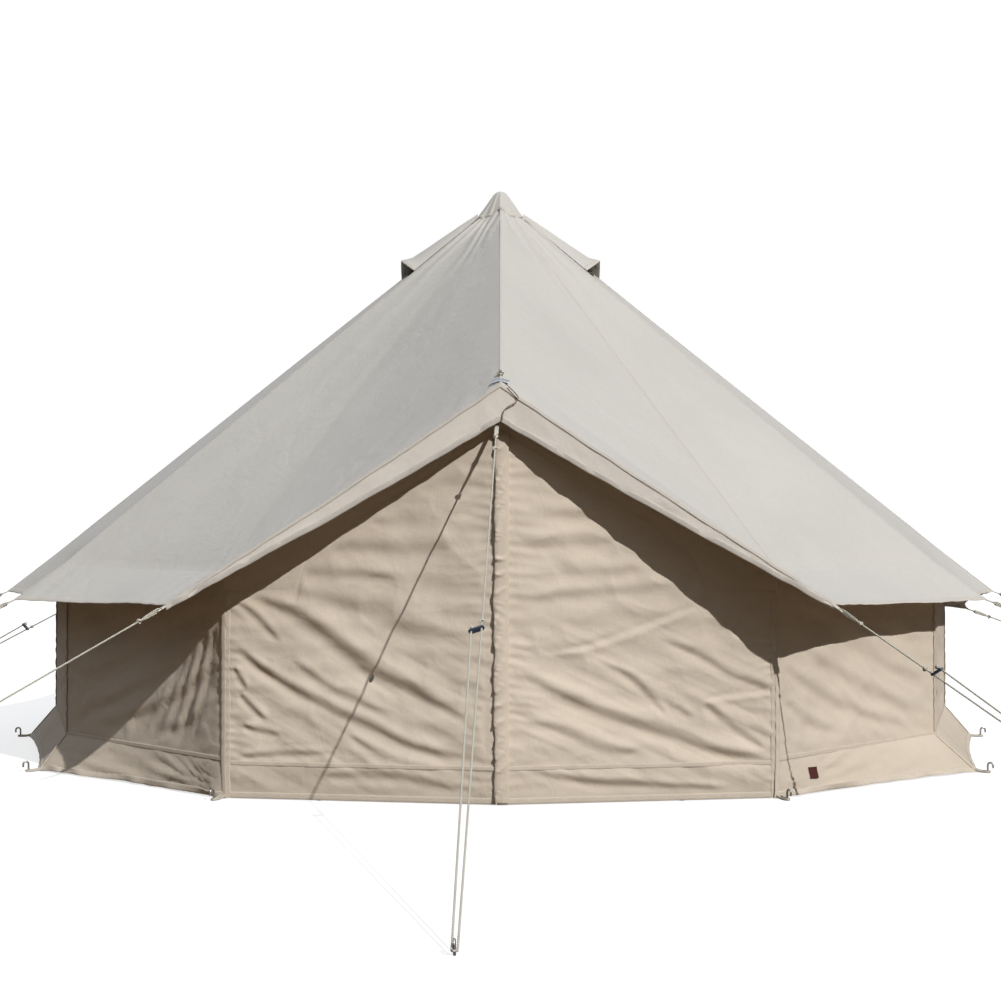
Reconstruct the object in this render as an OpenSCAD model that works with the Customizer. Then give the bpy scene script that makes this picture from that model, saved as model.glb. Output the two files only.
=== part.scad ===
// Bell tent, four metre class: a twelve sided canvas cone on a centre pole, with a low vertical
// wall, an A-frame at the door and a ring of guy ropes. Millimetres, +Z up, the door faces -Y and
// the origin is on the ground under the centre pole.

/* [Canvas] */
// Radius of the wall at its corners
wall_r = 1970; // [1500:10:2600]
// Height of the seam where the wall meets the roof
wall_top = 812; // [600:2:1100]
// Height at which the roof ridges would meet
roof_top = 2375; // [2000:5:3200]
// Height of the roof's front tip over the door
peak_z = 1457; // [1300:1:1750]
// How far the front tip stands in front of the door
peak_reach = 57; // [40:1:120]
// How far the door's middle stands in front of the centre pole
door_y = 1863; // [1440:1:2500]
// How far an ordinary eave corner stands out from the wall
eave_out = 210; // [120:5:320]
// How far an ordinary eave corner hangs below the wall's top
eave_drop = 155; // [80:5:220]
// Height of the seam between the wall and the ground band
band_h = 138; // [80:1:220]
// Thickness of the canvas solids
canvas_t = 2; // [1:0.5:4]
// Radius of the hole in the canvas round the pole's head
apex_hole = 60; // [50:1:90]
// Drop of the valance at the front tip
valance_h = 125; // [80:1:180]

/* [Door] */
// Height of the flaps' top corner at the door's middle
flap_top = 1303; // [1100:1:1303]
// Height of the flaps at their hinge
flap_low = 735; // [500:1:760]
// Gap between the flaps, and between a flap and the wall
flap_gap = 3; // [1:0.5:8]
// Gap under the flaps
flap_lift = 8; // [4:1:30]
// How far the line where the flaps meet lies left of the door's middle
split_x = 13; // [4:1:20]
// Width of the storm strip over the zip
strip_w = 52; // [30:1:80]
// Depth of the channel between the storm strip and the flap
strip_gap = 11; // [9:0.5:20]

/* [Poles] */
// Outer diameter of the centre pole
pole_d = 32; // [25:1:50]
// Outer diameter of the door frame's tubes
frame_d = 19; // [16:1:25]
// Wall of every tube
tube_wall = 1.5; // [1:0.1:3]
// Distance of a door frame foot from the middle
foot_x = 640; // [400:5:700]

/* [Guys] */
// Diameter of the guy rope
rope_d = 6; // [4:0.5:8]
// Diameter of the pegs' wire
peg_d = 7; // [6:0.5:10]
// Depth of the pegs in the ground
peg_depth = 200; // [120:5:300]
// Length of the runners
runner_l = 62; // [50:1:90]
// Width of the runners
runner_w = 16; // [14:0.5:24]
// Thickness of the runners
runner_t = 7; // [5:0.5:12]
// Play between the rope and the holes that it runs in
rope_play = 0.8; // [0.4:0.1:2]

/* [Hidden] */
SIDES = 12;
PANELS = 6;
WALLS = 5;
GUYS = 12;
$fn = 32;

// Corners are numbered from the door's middle, to the right as one faces the door.
STEP = 360 / SIDES;
// Turn of each eave corner away from its wall corner, in degrees
CORNER_TURN = [0, 0, 0, 0, -12, 0, 0, 0, 0, 0, 0, 0];
// What each eave corner adds to the ordinary overhang and to the ordinary drop
EXTRA_OUT = [0, 100, -5, 5, 190, 0, 0, 0, 0, 5, -5, 100];
EXTRA_DROP = [0, -48, -15, 10, 135, 5, 5, 5, 5, 10, -15, -48];
// How far the pegs pull the hem of the ground band out at each corner
FLARE = [0, 15, 170, 120, 120, 120, 120, 120, 120, 120, 110, 15];
// Direction, level run from the eave corner to the peg, and place of the runner on each guy
GUY_AZIMUTH = [-2.6, 46, 60, 90, 110, 150, 180, 210, 240, 270, 300, -46];
GUY_RUN = [2080, 1280, 1900, 1800, 1550, 1500, 1500, 1500, 1500, 1500, 1500, 1560];
RUNNER_AT = [1150, 440, 850, 850, 800, 700, 700, 700, 700, 700, 700, 1000];

canvas = "#e4dccd";
canvas_shade = "#d8cdbb";
steel = "#b8bcc0";
dark_steel = "#3c4650";
rope_white = "#e9e4d6";
black_plastic = "#2b2b2b";

// --- points -------------------------------------------------------------------------------
function polar(a, r, z) = [r * sin(a), -r * cos(a), z];
function unit(v) = v / norm(v);
function mix(a, b, t) = a + (b - a) * t;
function wrap(k) = (k + SIDES) % SIDES;
function up(p, d) = p + [0, 0, d];

slope = (roof_top - wall_top) / wall_r;
peak = [0, -door_y - peak_reach, peak_z];
front_slope = (roof_top - peak_z) / -peak.y;
function top_pt(k) =
    polar(k * STEP, apex_hole, roof_top - apex_hole * (wrap(k) == 0 ? front_slope : slope));
function knee_pt(k) = polar(k * STEP, wall_r, wall_top);
function tip_pt(k) =
    let (i = wrap(k))
    i == 0 ? peak : polar(k * STEP + CORNER_TURN[i], wall_r + eave_out + EXTRA_OUT[i],
                          wall_top - eave_drop - EXTRA_DROP[i]);
function foot_pt(k, r, z) = polar(k * STEP, r, z);
function hem_r(k) = wall_r + FLARE[wrap(k)];
function ridge_z(y) = roof_top + front_slope * y;

// A thin solid on the points in ring, which may be slightly out of plane, thickened by shift.
// Neighbours that share edge points and shift share that face too.
module skin(ring, shift) {
    n = len(ring);
    fan = [for (i = [1:n - 2]) [0, i + 1, i]];
    lid = [for (i = [1:n - 2]) [n, n + i, n + i + 1]];
    sides = [for (i = [0:n - 1]) for (t = [0, 1])
        t == 0 ? [i, (i + 1) % n, n + (i + 1) % n] : [i, n + (i + 1) % n, n + i]];
    polyhedron(concat(ring, [for (p = ring) p + shift]), concat(fan, lid, sides));
}

// A thin upright solid between the corner lines a and b, given as [low, high] points.
module upright(a, b) {
    out = [for (p = [a[0], b[0], b[1], a[1]]) p + unit([p.x, p.y, 0]) * canvas_t];
    flat = [a[0], b[0], b[1], a[1]];
    polyhedron(concat(flat, out), [[2, 1, 0], [3, 2, 0], [4, 5, 6], [4, 6, 7], [0, 1, 5], [0, 5, 4],
        [1, 2, 6], [1, 6, 5], [2, 3, 7], [2, 7, 6], [3, 0, 4], [3, 4, 7]]);
}

// Moves the X, Y and Z axes onto three unit vectors at o.
module on_frame(o, x, y, z) {
    multmatrix([[x.x, y.x, z.x, o.x], [x.y, y.y, z.y, o.y], [x.z, y.z, z.z, o.z], [0, 0, 0, 1]])
        children();
}

// Stands children, drawn along +Z, on the line from a towards b.
module along(a, b) {
    z = unit(b - a);
    x = unit(cross(abs(z.z) > 0.9 ? [0, 1, 0] : [0, 0, 1], z));
    on_frame(a, x, cross(z, x), z) children();
}

module tube(d, l) {
    difference() {
        cylinder(d = d, h = l);
        translate([0, 0, -1]) cylinder(d = d - 2 * tube_wall, h = l + 2);
    }
}

// --- centre pole --------------------------------------------------------------------------
pole_split = 1180;
pole_joint = 90;
foot_h = 12;
pole_head = roof_top - 45;
pole_play = 0.15;

module centre_pole_lower() {
    color(steel) translate([0, 0, foot_h]) tube(pole_d, pole_split - foot_h);
}

// The upper tube carries a necked joint that goes down inside the lower one.
module centre_pole_upper() {
    neck_d = pole_d - 2 * tube_wall - 2 * pole_play;
    color(steel) difference() {
        union() {
            translate([0, 0, pole_split]) cylinder(d = pole_d, h = pole_head - pole_split);
            translate([0, 0, pole_split - pole_joint]) cylinder(d = neck_d, h = pole_joint + 1);
        }
        translate([0, 0, pole_split - pole_joint - 1])
            cylinder(d = neck_d - 2 * tube_wall, h = pole_head - pole_split + pole_joint + 2);
    }
}

module centre_pole_foot() {
    bore = pole_d - 2 * tube_wall;
    color(black_plastic) {
        cylinder(d = pole_d + 16, h = foot_h);
        translate([0, 0, foot_h - 1]) cylinder(d = bore - 2 * pole_play, h = 40);
    }
}

// The rounded plug that takes the weight of the canvas.
module centre_pole_cap() {
    color(black_plastic) {
        rotate_extrude() polygon([[0, pole_head], [pole_d / 2 + 9, pole_head],
            [pole_d / 2 + 9, pole_head + 10], [14, pole_head + 62], [6, pole_head + 70],
            [0, pole_head + 70]]);
        translate([0, 0, pole_head - 40])
            cylinder(d = pole_d - 4 * tube_wall - 4 * pole_play, h = 41);
    }
}

// --- canvas -------------------------------------------------------------------------------
apex_cap_r = 105;
apex_cap_z = pole_head + 76;

module apex_cap() {
    rim_z = roof_top - 65;
    color(canvas) rotate_extrude() difference() {
        polygon([[0, apex_cap_z + 10], [12, apex_cap_z + 8], [24, apex_cap_z - 6],
            [apex_cap_r, rim_z], [0, rim_z]]);
        translate([0, -canvas_t * 1.5]) polygon([[0, apex_cap_z + 10], [12, apex_cap_z + 8],
            [24, apex_cap_z - 6], [apex_cap_r, rim_z], [0, rim_z]]);
        translate([-1, -1]) square([0.9, 9999]);
    }
}

// Draws a ring in by a few tenths of a millimetre, so that sewn neighbours don't merge.
function seam(ring) =
    let (c = [for (p = ring) 1] * ring / len(ring))
    [for (p = ring) mix(p, c, 0.0004)];

// One gore from the apex to the wall's top, and its strip of eave below the seam.
module gore(k) {
    lift = [0, 0, canvas_t * 1.3];
    if (wrap(k) == 0 || wrap(k + 1) == 0) {
        front_gore(wrap(k) == 0, lift);
    } else {
        skin(seam([top_pt(k), top_pt(k + 1), knee_pt(k + 1), knee_pt(k)]), lift);
        skin(seam([knee_pt(k), knee_pt(k + 1), tip_pt(k + 1), tip_pt(k)]), lift);
    }
}

// The gore beside the front ridge, with a hole for the door frame's spike.
module front_gore(right, lift) {
    j = right ? 1 : -1;
    upper = [top_pt(0), top_pt(j), knee_pt(j), peak];
    lower = [peak, knee_pt(j), tip_pt(j)];
    difference() {
        skin(seam(right ? upper : [for (i = [3:-1:0]) upper[i]]), lift);
        translate([0, frame_top.y, 0]) cylinder(r = spike_r + 2, h = roof_top);
    }
    skin(seam(right ? lower : [for (i = [2:-1:0]) lower[i]]), lift);
}

module roof_panel(i) {
    color(i % 2 == 0 ? canvas : canvas_shade) {
        gore(2 * i - 2);
        gore(2 * i - 1);
    }
}

// Two faces of wall, from the ground band's seam up into the roof seam.
module wall_panel(i) {
    color(canvas_shade) for (k = [2 * i - 1, 2 * i]) {
        a = k * STEP + (k == 2 * i ? 0.01 : 0);
        low = band_h + 0.4;
        high = wall_top - canvas_t - 0.6;
        upright([polar(a, wall_r, low), polar(a, wall_r, high)],
                [foot_pt(k + 1, wall_r, low), foot_pt(k + 1, wall_r, high)]);
    }
}

module skirt_band() {
    color(canvas) for (k = [1:SIDES - 2])
        upright([polar(k * STEP + 0.01, hem_r(k), 0), polar(k * STEP + 0.01, wall_r, band_h)],
                [foot_pt(k + 1, hem_r(k + 1), 0), foot_pt(k + 1, wall_r, band_h)]);
}

// --- door ---------------------------------------------------------------------------------
// The flaps and the header lie in two upright planes that meet at the door's middle. Here they
// are drawn flat: u runs from the hinge towards the middle, v is up.
hinge = knee_pt(1);
door_mid = [0, -door_y];
door_len = norm(door_mid - [hinge.x, hinge.y]);
door_angle = atan2(-(door_mid.y - hinge.y), hinge.x);
header_gap = 6;
hem_z0 = peak_z - valance_h;
tip_hem_z = tip_pt(1).z - 15;

// The flaps' top edge keeps under the valance's hem while the flaps swing out.
FLAP_EDGE = [[0.27, 0.02], [0.305, 0.19], [0.36, 0.285], [0.49, 0.45], [0.69, 0.665],
    [0.877, 0.87], [1, 1]];
function flap_line(lift) = concat([[0, flap_low + lift]],
    [for (p = FLAP_EDGE) [p[0] * door_len, mix(flap_low, flap_top, p[1]) + lift]]);

// Places a drawing of the right half (side 1) or of the left half (side -1), front face on the
// door plane, depth t behind it.
module on_door(side) {
    mirror([side > 0 ? 0 : 1, 0, 0])
        on_frame([hinge.x, hinge.y, 0], [-cos(door_angle), -sin(door_angle), 0], [0, 0, 1],
                 [-sin(door_angle), cos(door_angle), 0])
            children();
}

function flap_shape(width) =
    let (edge = [for (p = flap_line(0)) if (p[0] < width - 1) p])
    concat([[flap_gap * 2, flap_lift], [width, flap_lift],
        [width, edge[len(edge) - 1][1] + (flap_top - edge[len(edge) - 1][1])
            * (width > door_len ? 1 : (width - edge[len(edge) - 1][0])
            / (door_len - edge[len(edge) - 1][0] + 0.001))]],
        [for (i = [len(edge) - 1:-1:1]) edge[i]], [[flap_gap * 2, flap_low]]);

right_w = door_len + split_x;
left_w = door_len - split_x - flap_gap;

module door_flap_right() {
    color(canvas_shade) on_door(1) linear_extrude(canvas_t) polygon(flap_shape(right_w));
}

module door_flap_left() {
    color(canvas_shade) on_door(-1) linear_extrude(canvas_t) polygon(flap_shape(left_w));
}

// The fixed strip between the flaps' top edge and the roof, sewn up into the roof's underside.
module header_half() {
    roof_low = wall_top - 6;
    roof_high = ridge_z(-door_y) - 4;
    low = [for (p = flap_line(header_gap)) if (p[0] < door_len - 1) p];
    linear_extrude(canvas_t) polygon(concat([[1, roof_low - 30]],
        [for (i = [1:len(low) - 1]) low[i]],
        [[door_len - 0.8, flap_top + header_gap], [door_len - 0.8, roof_high], [1, roof_low]]));
}

module door_header() {
    color(canvas_shade) for (side = [1, -1]) on_door(side) header_half();
}

module door_valance() {
    tip = tip_pt(1);
    color(canvas) for (side = [1, -1]) mirror([side > 0 ? 0 : 1, 0, 0]) {
        a = [[0.2, peak.y - 1, hem_z0], [0.2, peak.y - 1, peak_z - 2]];
        b = [[tip.x, tip.y - 1, tip_hem_z], [tip.x, tip.y - 1, tip.z - 2]];
        skin([a[0], b[0], b[1], a[1]], [0, -canvas_t, 0]);
    }
}

// The storm strip stands off the right flap, so that the zip slider runs in the channel.
strip_top = flap_top - 18;
module storm_strip() {
    x0 = right_w - strip_w + 1;
    color(canvas) on_door(1) translate([0, flap_lift + 4, 0]) {
        translate([x0, 0, -strip_gap - canvas_t])
            cube([strip_w - 2, strip_top - flap_lift, canvas_t]);
        translate([x0, 0, -strip_gap - 0.5])
            cube([canvas_t, strip_top - flap_lift, strip_gap + 0.5]);
    }
}

zip_w = 14;
zip_t = 1.4;
zip_low = flap_lift + 12;
zip_high = flap_top - 30;

// Tape with a thicker row of teeth along its free edge.
module zip_tape(side, width) {
    color("#c9c0ae") on_door(side) {
        translate([width - zip_w, zip_low, -zip_t]) cube([zip_w, zip_high - zip_low, zip_t]);
        translate([width - 3, zip_low, -zip_t - 1])
            cube([3, zip_high - zip_low, 1.2]);
    }
}

module zip_slider() {
    color(dark_steel) on_door(1) translate([right_w - 7, zip_low + 26, -zip_t - 1.4]) {
        difference() {
            translate([0, 0, -3.4]) cylinder(r = 6, h = 3.4);
            translate([0, 0, -6]) cylinder(r = 1.8, h = 8);
        }
        translate([-2.5, -26, -5.4]) cube([5, 22, 1.6]);
        translate([-2.5, -6, -5.4]) cube([5, 3, 2.4]);
    }
}

// --- vents and tag ------------------------------------------------------------------------
vent_r0 = 112;
vent_lip_r = 440;
vent_lip_h = 80;
vent_base_r = 400;
vent_spread = 20;

function on_roof(a, r) =
    let (c = cos(abs(a % STEP - STEP / 2)) / cos(STEP / 2))
    polar(a, r, roof_top - slope * r * c);

module vent_hood(a) {
    top = up(on_roof(a, vent_r0), 8);
    lip = up(on_roof(a, vent_lip_r), vent_lip_h);
    for (s = [-1, 1]) {
        base = up(on_roof(a + s * vent_spread, vent_base_r), 3.4);
        side = up(on_roof(a + s * 2, vent_r0), 6);
        ring = s > 0 ? [top, side, base, lip] : [lip, base, side, top];
        skin(ring, [0, 0, canvas_t]);
    }
}

module vent_hoods() {
    color(canvas) for (a = [90, 270]) vent_hood(a);
}

module vent_mesh() {
    color("#3a3a36") for (a = [90, 270]) for (s = [-1, 1]) {
        p = [up(on_roof(a + s * 0.6, 190), 3.1), up(on_roof(a + s * 12, 345), 3.1),
             up(on_roof(a + s * 0.4, 370), 3.1)];
        skin(s > 0 ? p : [p[2], p[1], p[0]], [0, 0, 0.8]);
    }
}

tag_w = 44;
tag_h = 42;

// A plain woven tag sewn on the ground band beside the door.
module maker_tag() {
    low = mix(foot_pt(1, hem_r(1), 0), foot_pt(2, hem_r(2), 0), 0.18);
    high = mix(foot_pt(1, wall_r, band_h), foot_pt(2, wall_r, band_h), 0.18);
    y = unit(high - low);
    x = unit(cross(y, polar(1.5 * STEP, 1, 0)) * -1);
    z = cross(x, y);
    o = mix(low, high, 0.52) + z * (canvas_t + 1.2);
    color("#6b2a22") on_frame(o, x, y, z) rotate([0, 0, 12])
        translate([-tag_w / 2, -tag_h / 2, 0]) cube([tag_w, tag_h, 1.2]);
}

// --- pegs and loops -----------------------------------------------------------------------
peg_r = peg_d / 2;
bend_r = peg_d * 1.5;
hook_low = 24;
loop_l = 62;
loop_w = 26;
loop_t = 3;
hem_peg_out = 40;

// A round steel peg with its hook turned towards +X.
module peg() {
    point_h = peg_r * 3;
    translate([0, 0, point_h - peg_depth])
        cylinder(r = peg_r, h = peg_depth + hook_low + 6 - point_h);
    translate([0, 0, -peg_depth]) cylinder(r1 = 0.8, r2 = peg_r, h = point_h);
    translate([bend_r, 0, hook_low + 6]) rotate([90, 0, 0])
        rotate_extrude(angle = 180) translate([bend_r, 0]) circle(r = peg_r);
    translate([2 * bend_r, 0, hook_low - 4]) cylinder(r = peg_r, h = 10);
}

function hem_peg_at(k) = polar(k * STEP, hem_r(k) + hem_peg_out, 0);

module hem_pegs() {
    color(steel) for (k = [1:SIDES - 1])
        translate(hem_peg_at(k)) rotate([0, 0, k * STEP - 90]) peg();
}

module hem_loops() {
    color(canvas_shade) for (k = [1:SIDES - 1])
        translate(polar(k * STEP, hem_r(k), 0)) rotate([0, 0, k * STEP - 90]) difference() {
            translate([canvas_t + 1.5, -loop_w / 2, 2]) cube([loop_l, loop_w, loop_t]);
            translate([hem_peg_out, 0, 0]) cylinder(r = peg_r + 1.5, h = 20);
        }
}

// --- guys ---------------------------------------------------------------------------------
rope_r = rope_d / 2;
loop_z = rope_r + 9;
wrap_r = peg_r + rope_r + 0.6;
tab_l = 46;
tab_w = 25;
tab_t = 3;
tab_gap = 5;
front_tie = [-14, peak.y - 20, hem_z0 - 32];

function guy_top(k) = k == 0 ? front_tie : tip_pt(k) + [0, 0, -2];
function guy_dir(k) = polar(GUY_AZIMUTH[k], 1, 0);
function peg_at(k) =
    let (p = guy_top(k) + guy_dir(k) * GUY_RUN[k])
    [p.x, p.y, 0];
function side_of(k) = cross([0, 0, 1], guy_dir(k));
// Where the standing part reaches the peg, and where the return part leaves it.
function peg_in(k) = peg_at(k) + side_of(k) * wrap_r * (k == 0 ? 1 : -1) + [0, 0, loop_z];
function peg_out(k) = peg_at(k) - side_of(k) * wrap_r * (k == 0 ? 1 : -1) + [0, 0, loop_z];
function guy_u(k) = unit(peg_in(k) - guy_top(k));
function rope_start(k) = guy_top(k) + guy_u(k) * tab_l;
// The runner spreads sideways on the front guy and upwards on the others.
function guy_s(k) =
    let (u = guy_u(k), raw = k == 0 ? -side_of(k) : [0, 0, 1])
    unit(raw - u * (raw * u));
TILT = 30;
function bar_b(k) = guy_s(k) * cos(TILT) + guy_u(k) * sin(TILT);
hole_gap = runner_l * 0.56;
function hole_a(k) = guy_top(k) + guy_u(k) * RUNNER_AT[k];
function hole_b(k) = hole_a(k) + bar_b(k) * hole_gap;
function rope_end(k) = hole_b(k) + unit(hole_b(k) - peg_out(k)) * (runner_t * 1.2 + 3);

function arc_pts(k) =
    let (s = side_of(k) * (k == 0 ? 1 : -1), d = guy_dir(k), c = peg_at(k) + [0, 0, loop_z])
    [for (a = [30:30:150]) c + s * cos(a) * wrap_r + d * sin(a) * wrap_r];
function rope_route(k) = concat([rope_start(k), mix(rope_start(k), peg_in(k), 0.5), peg_in(k)],
    arc_pts(k), [peg_out(k), rope_end(k)]);

// A closed tube of eight sides swept along the points of a route.
ROPE_SIDES = 8;
function tangent(p, i) =
    i == 0 ? unit(p[1] - p[0])
    : i == len(p) - 1 ? unit(p[i] - p[i - 1])
    : unit(unit(p[i] - p[i - 1]) + unit(p[i + 1] - p[i]));
function ring_at(p, i) =
    let (t = tangent(p, i), x = unit(cross([0, 0, 1], t)), y = cross(t, x))
    [for (j = [0:ROPE_SIDES - 1])
        p[i] + (x * cos(j * 360 / ROPE_SIDES) + y * sin(j * 360 / ROPE_SIDES)) * rope_r];

module swept(p) {
    n = len(p);
    m = ROPE_SIDES;
    pts = [for (i = [0:n - 1]) each ring_at(p, i)];
    walls = [for (i = [0:n - 2]) for (j = [0:m - 1]) for (t = [0, 1])
        let (a = i * m + j, b = i * m + (j + 1) % m)
        t == 0 ? [a, a + m, b + m] : [a, b + m, b]];
    start = [for (j = [0:m - 1]) j];
    finish = [for (j = [m - 1:-1:0]) (n - 1) * m + j];
    polyhedron(pts, concat(walls, [start], [finish]));
}

module guy_rope(k) {
    color(rope_white) swept(rope_route(k));
}

// A flat bar with a slanted hole for the standing part and one for the return part.
module guy_runner(k) {
    b = bar_b(k);
    w = unit(cross(guy_u(k), guy_s(k)));
    n = cross(b, w);
    hole_r = rope_r + rope_play;
    v = unit(rope_end(k) - peg_out(k));
    color(dark_steel) difference() {
        on_frame(hole_a(k), b, w, n) translate([0, 0, -runner_t / 2]) union() {
            cylinder(d = runner_w, h = runner_t);
            translate([hole_gap, 0, 0]) cylinder(d = runner_w, h = runner_t);
            translate([0, -runner_w / 2, 0]) cube([hole_gap, runner_w, runner_t]);
        }
        along(hole_a(k) - guy_u(k) * 40, hole_a(k)) cylinder(r = hole_r, h = 80);
        along(hole_b(k) - v * 40, hole_b(k)) cylinder(r = hole_r, h = 80);
    }
}

// Webbing tabs sewn into the eave corners, which the ropes are tied to.
module eave_tabs() {
    color(canvas_shade) for (k = [0:GUYS - 1]) {
        u = guy_u(k);
        x = unit(cross(u, [0, 0, 1]));
        on_frame(guy_top(k), x, cross(u, x), u) difference() {
            translate([-tab_w / 2, -tab_t / 2, tab_gap]) cube([tab_w, tab_t, tab_l - tab_gap]);
            translate([0, tab_t, tab_l - 14]) rotate([90, 0, 0]) cylinder(r = 5, h = tab_t * 3);
        }
    }
}

module guy_pegs() {
    color(steel) for (k = [0:GUYS - 1])
        translate(peg_at(k)) rotate([0, 0, GUY_AZIMUTH[k] - 90]) peg();
}

// --- door frame ---------------------------------------------------------------------------
frame_back = 5;
frame_top = [20, -door_y + frame_d / 2 + frame_back + 3, peak_z - 70];
frame_foot = [foot_x, hinge.y + (door_mid.y - hinge.y) * (1 - foot_x / hinge.x) + frame_d / 2
    + frame_back + 8, 20];
spike_r = 4;

module leg(side) {
    a = [side * frame_foot.x, frame_foot.y, frame_foot.z];
    b = [side * frame_top.x, frame_top.y, frame_top.z];
    color(steel) along(a, b) tube(frame_d, norm(b - a));
}

// The bent joint at the top of the door frame, with the spike that goes up through the canvas.
module door_frame_bracket() {
    neck = frame_d - 2 * tube_wall - 0.3;
    hub = [0, frame_top.y, frame_top.z + 34];
    color(steel) {
        for (side = [-1, 1]) {
            a = [side * frame_foot.x, frame_foot.y, frame_foot.z];
            b = [side * frame_top.x, frame_top.y, frame_top.z];
            back = unit(a - b);
            along(b + back * 60, b) cylinder(d = neck, h = 64);
            along(mix(b, hub, 0.05), hub) cylinder(d = frame_d, h = norm(hub - b) * 0.95);
        }
        translate(hub) sphere(d = frame_d + 4);
        translate(hub) cylinder(r = spike_r, h = ridge_z(hub.y) + 22 - hub.z);
    }
}

module door_frame_feet() {
    neck = frame_d - 2 * tube_wall - 0.3;
    color(black_plastic) for (side = [-1, 1]) {
        a = [side * frame_foot.x, frame_foot.y, frame_foot.z];
        b = [side * frame_top.x, frame_top.y, frame_top.z];
        dir = unit(b - a);
        translate([a.x, a.y, 0]) cylinder(d = frame_d + 8, h = 8);
        translate([a.x, a.y, 0]) cylinder(d = frame_d - 1, h = a.z - frame_d * 0.26);
        along(a - dir * 7, b) cylinder(d = neck, h = 37);
    }
}

// --- parts --------------------------------------------------------------------------------
centre_pole_lower();
centre_pole_upper();
centre_pole_foot();
centre_pole_cap();
leg(-1);  // door_frame_leg_left
leg(1);  // door_frame_leg_right
door_frame_bracket();
door_frame_feet();
apex_cap();
for (i = [1:PANELS]) roof_panel(i);
for (i = [1:WALLS]) wall_panel(i);
skirt_band();
door_header();
door_valance();
door_flap_left();
door_flap_right();
storm_strip();
zip_tape(-1, left_w);  // zip_tape_left
zip_tape(1, right_w);  // zip_tape_right
zip_slider();
vent_hoods();
vent_mesh();
maker_tag();
eave_tabs();
hem_loops();
hem_pegs();
guy_pegs();
for (i = [1:GUYS]) guy_rope(i - 1);
for (i = [1:GUYS]) guy_runner(i - 1);
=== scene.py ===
"""Bell tent: cotton canvas, ropes, pegs and poles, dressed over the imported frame."""

import logging
import math
from dataclasses import dataclass, field
from enum import Enum
from typing import Callable, Sequence

import bpy
import numpy as np
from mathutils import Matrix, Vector


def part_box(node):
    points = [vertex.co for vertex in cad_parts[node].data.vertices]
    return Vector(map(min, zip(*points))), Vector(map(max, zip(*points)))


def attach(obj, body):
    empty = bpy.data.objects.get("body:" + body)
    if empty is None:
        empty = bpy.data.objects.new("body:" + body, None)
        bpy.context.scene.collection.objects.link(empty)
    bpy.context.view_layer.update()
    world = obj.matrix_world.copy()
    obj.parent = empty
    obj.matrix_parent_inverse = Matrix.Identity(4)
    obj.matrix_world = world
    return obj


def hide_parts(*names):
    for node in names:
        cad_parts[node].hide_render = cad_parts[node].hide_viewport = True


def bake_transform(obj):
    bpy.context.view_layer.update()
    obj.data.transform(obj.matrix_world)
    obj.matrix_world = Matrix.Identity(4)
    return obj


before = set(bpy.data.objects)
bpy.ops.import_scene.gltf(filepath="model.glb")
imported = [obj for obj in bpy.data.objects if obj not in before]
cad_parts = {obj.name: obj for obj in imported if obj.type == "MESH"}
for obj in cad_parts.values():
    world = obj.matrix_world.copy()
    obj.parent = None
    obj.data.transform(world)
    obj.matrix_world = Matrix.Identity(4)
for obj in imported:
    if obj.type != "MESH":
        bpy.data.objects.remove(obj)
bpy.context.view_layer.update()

log = logging.getLogger("bell_tent")

Array = np.ndarray
Colour = tuple[float, float, float]


class Body(str, Enum):
    """The bodies that pieces ride on."""

    TENT = "tent"
    FLAP_LEFT = "flap_left"
    FLAP_RIGHT = "flap_right"


class Side(Enum):
    """Which side of the door a piece is on, as one faces it."""

    LEFT = -1
    RIGHT = 1


# --- small helpers ------------------------------------------------------------------------


def vec(*xyz: float) -> Array:
    """A point as an array."""
    return np.array(xyz, float)


def unit(v: Array) -> Array:
    """v at length one, along its last axis."""
    n = np.linalg.norm(v, axis=-1, keepdims=True)
    return v / np.maximum(n, 1e-12)


def mix(a: Array, b: Array, t: float | Array) -> Array:
    """The point a share t of the way from a to b."""
    return a + (b - a) * t


def polar(azimuth: float, r: float, z: float) -> Array:
    """A point by its azimuth from the door in degrees, its radius and its height."""
    a = math.radians(azimuth)
    return vec(r * math.sin(a), -r * math.cos(a), z)


def smooth(x: Array, lo: float, hi: float) -> Array:
    """Rises smoothly from 0 at lo to 1 at hi."""
    t = np.clip((x - lo) / (hi - lo), 0.0, 1.0)
    return t * t * (3 - 2 * t)


class Noise:
    """Smooth seeded value noise over a plane."""

    SIZE = 64

    def __init__(self, seed: int) -> None:
        """Fills the lattice from a seed."""
        self.table = np.random.default_rng(seed).uniform(-1, 1, (self.SIZE, self.SIZE))

    def at(self, x: Array, y: Array) -> Array:
        """Samples the noise.

        Args:
            x: first coordinate, one unit to a lattice cell.
            y: second coordinate.

        Returns:
            Values from about -1 to 1.
        """
        xi, yi = np.floor(x).astype(int), np.floor(y).astype(int)
        fx, fy = x - xi, y - yi
        fx, fy = fx * fx * (3 - 2 * fx), fy * fy * (3 - 2 * fy)
        n = self.SIZE
        a, b = self.table[xi % n, yi % n], self.table[(xi + 1) % n, yi % n]
        c, d = self.table[xi % n, (yi + 1) % n], self.table[(xi + 1) % n, (yi + 1) % n]
        return (a * (1 - fx) + b * fx) * (1 - fy) + (c * (1 - fx) + d * fx) * fy

    def fractal(self, x: Array, y: Array, octaves: int = 3) -> Array:
        """Several octaves of the noise, each half as strong as the one before."""
        total, gain = np.zeros_like(x, dtype=float), 1.0
        for i in range(octaves):
            total += gain * self.at(x * 2**i + 7.3 * i, y * 2**i + 3.1 * i)
            gain *= 0.5
        return total


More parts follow.
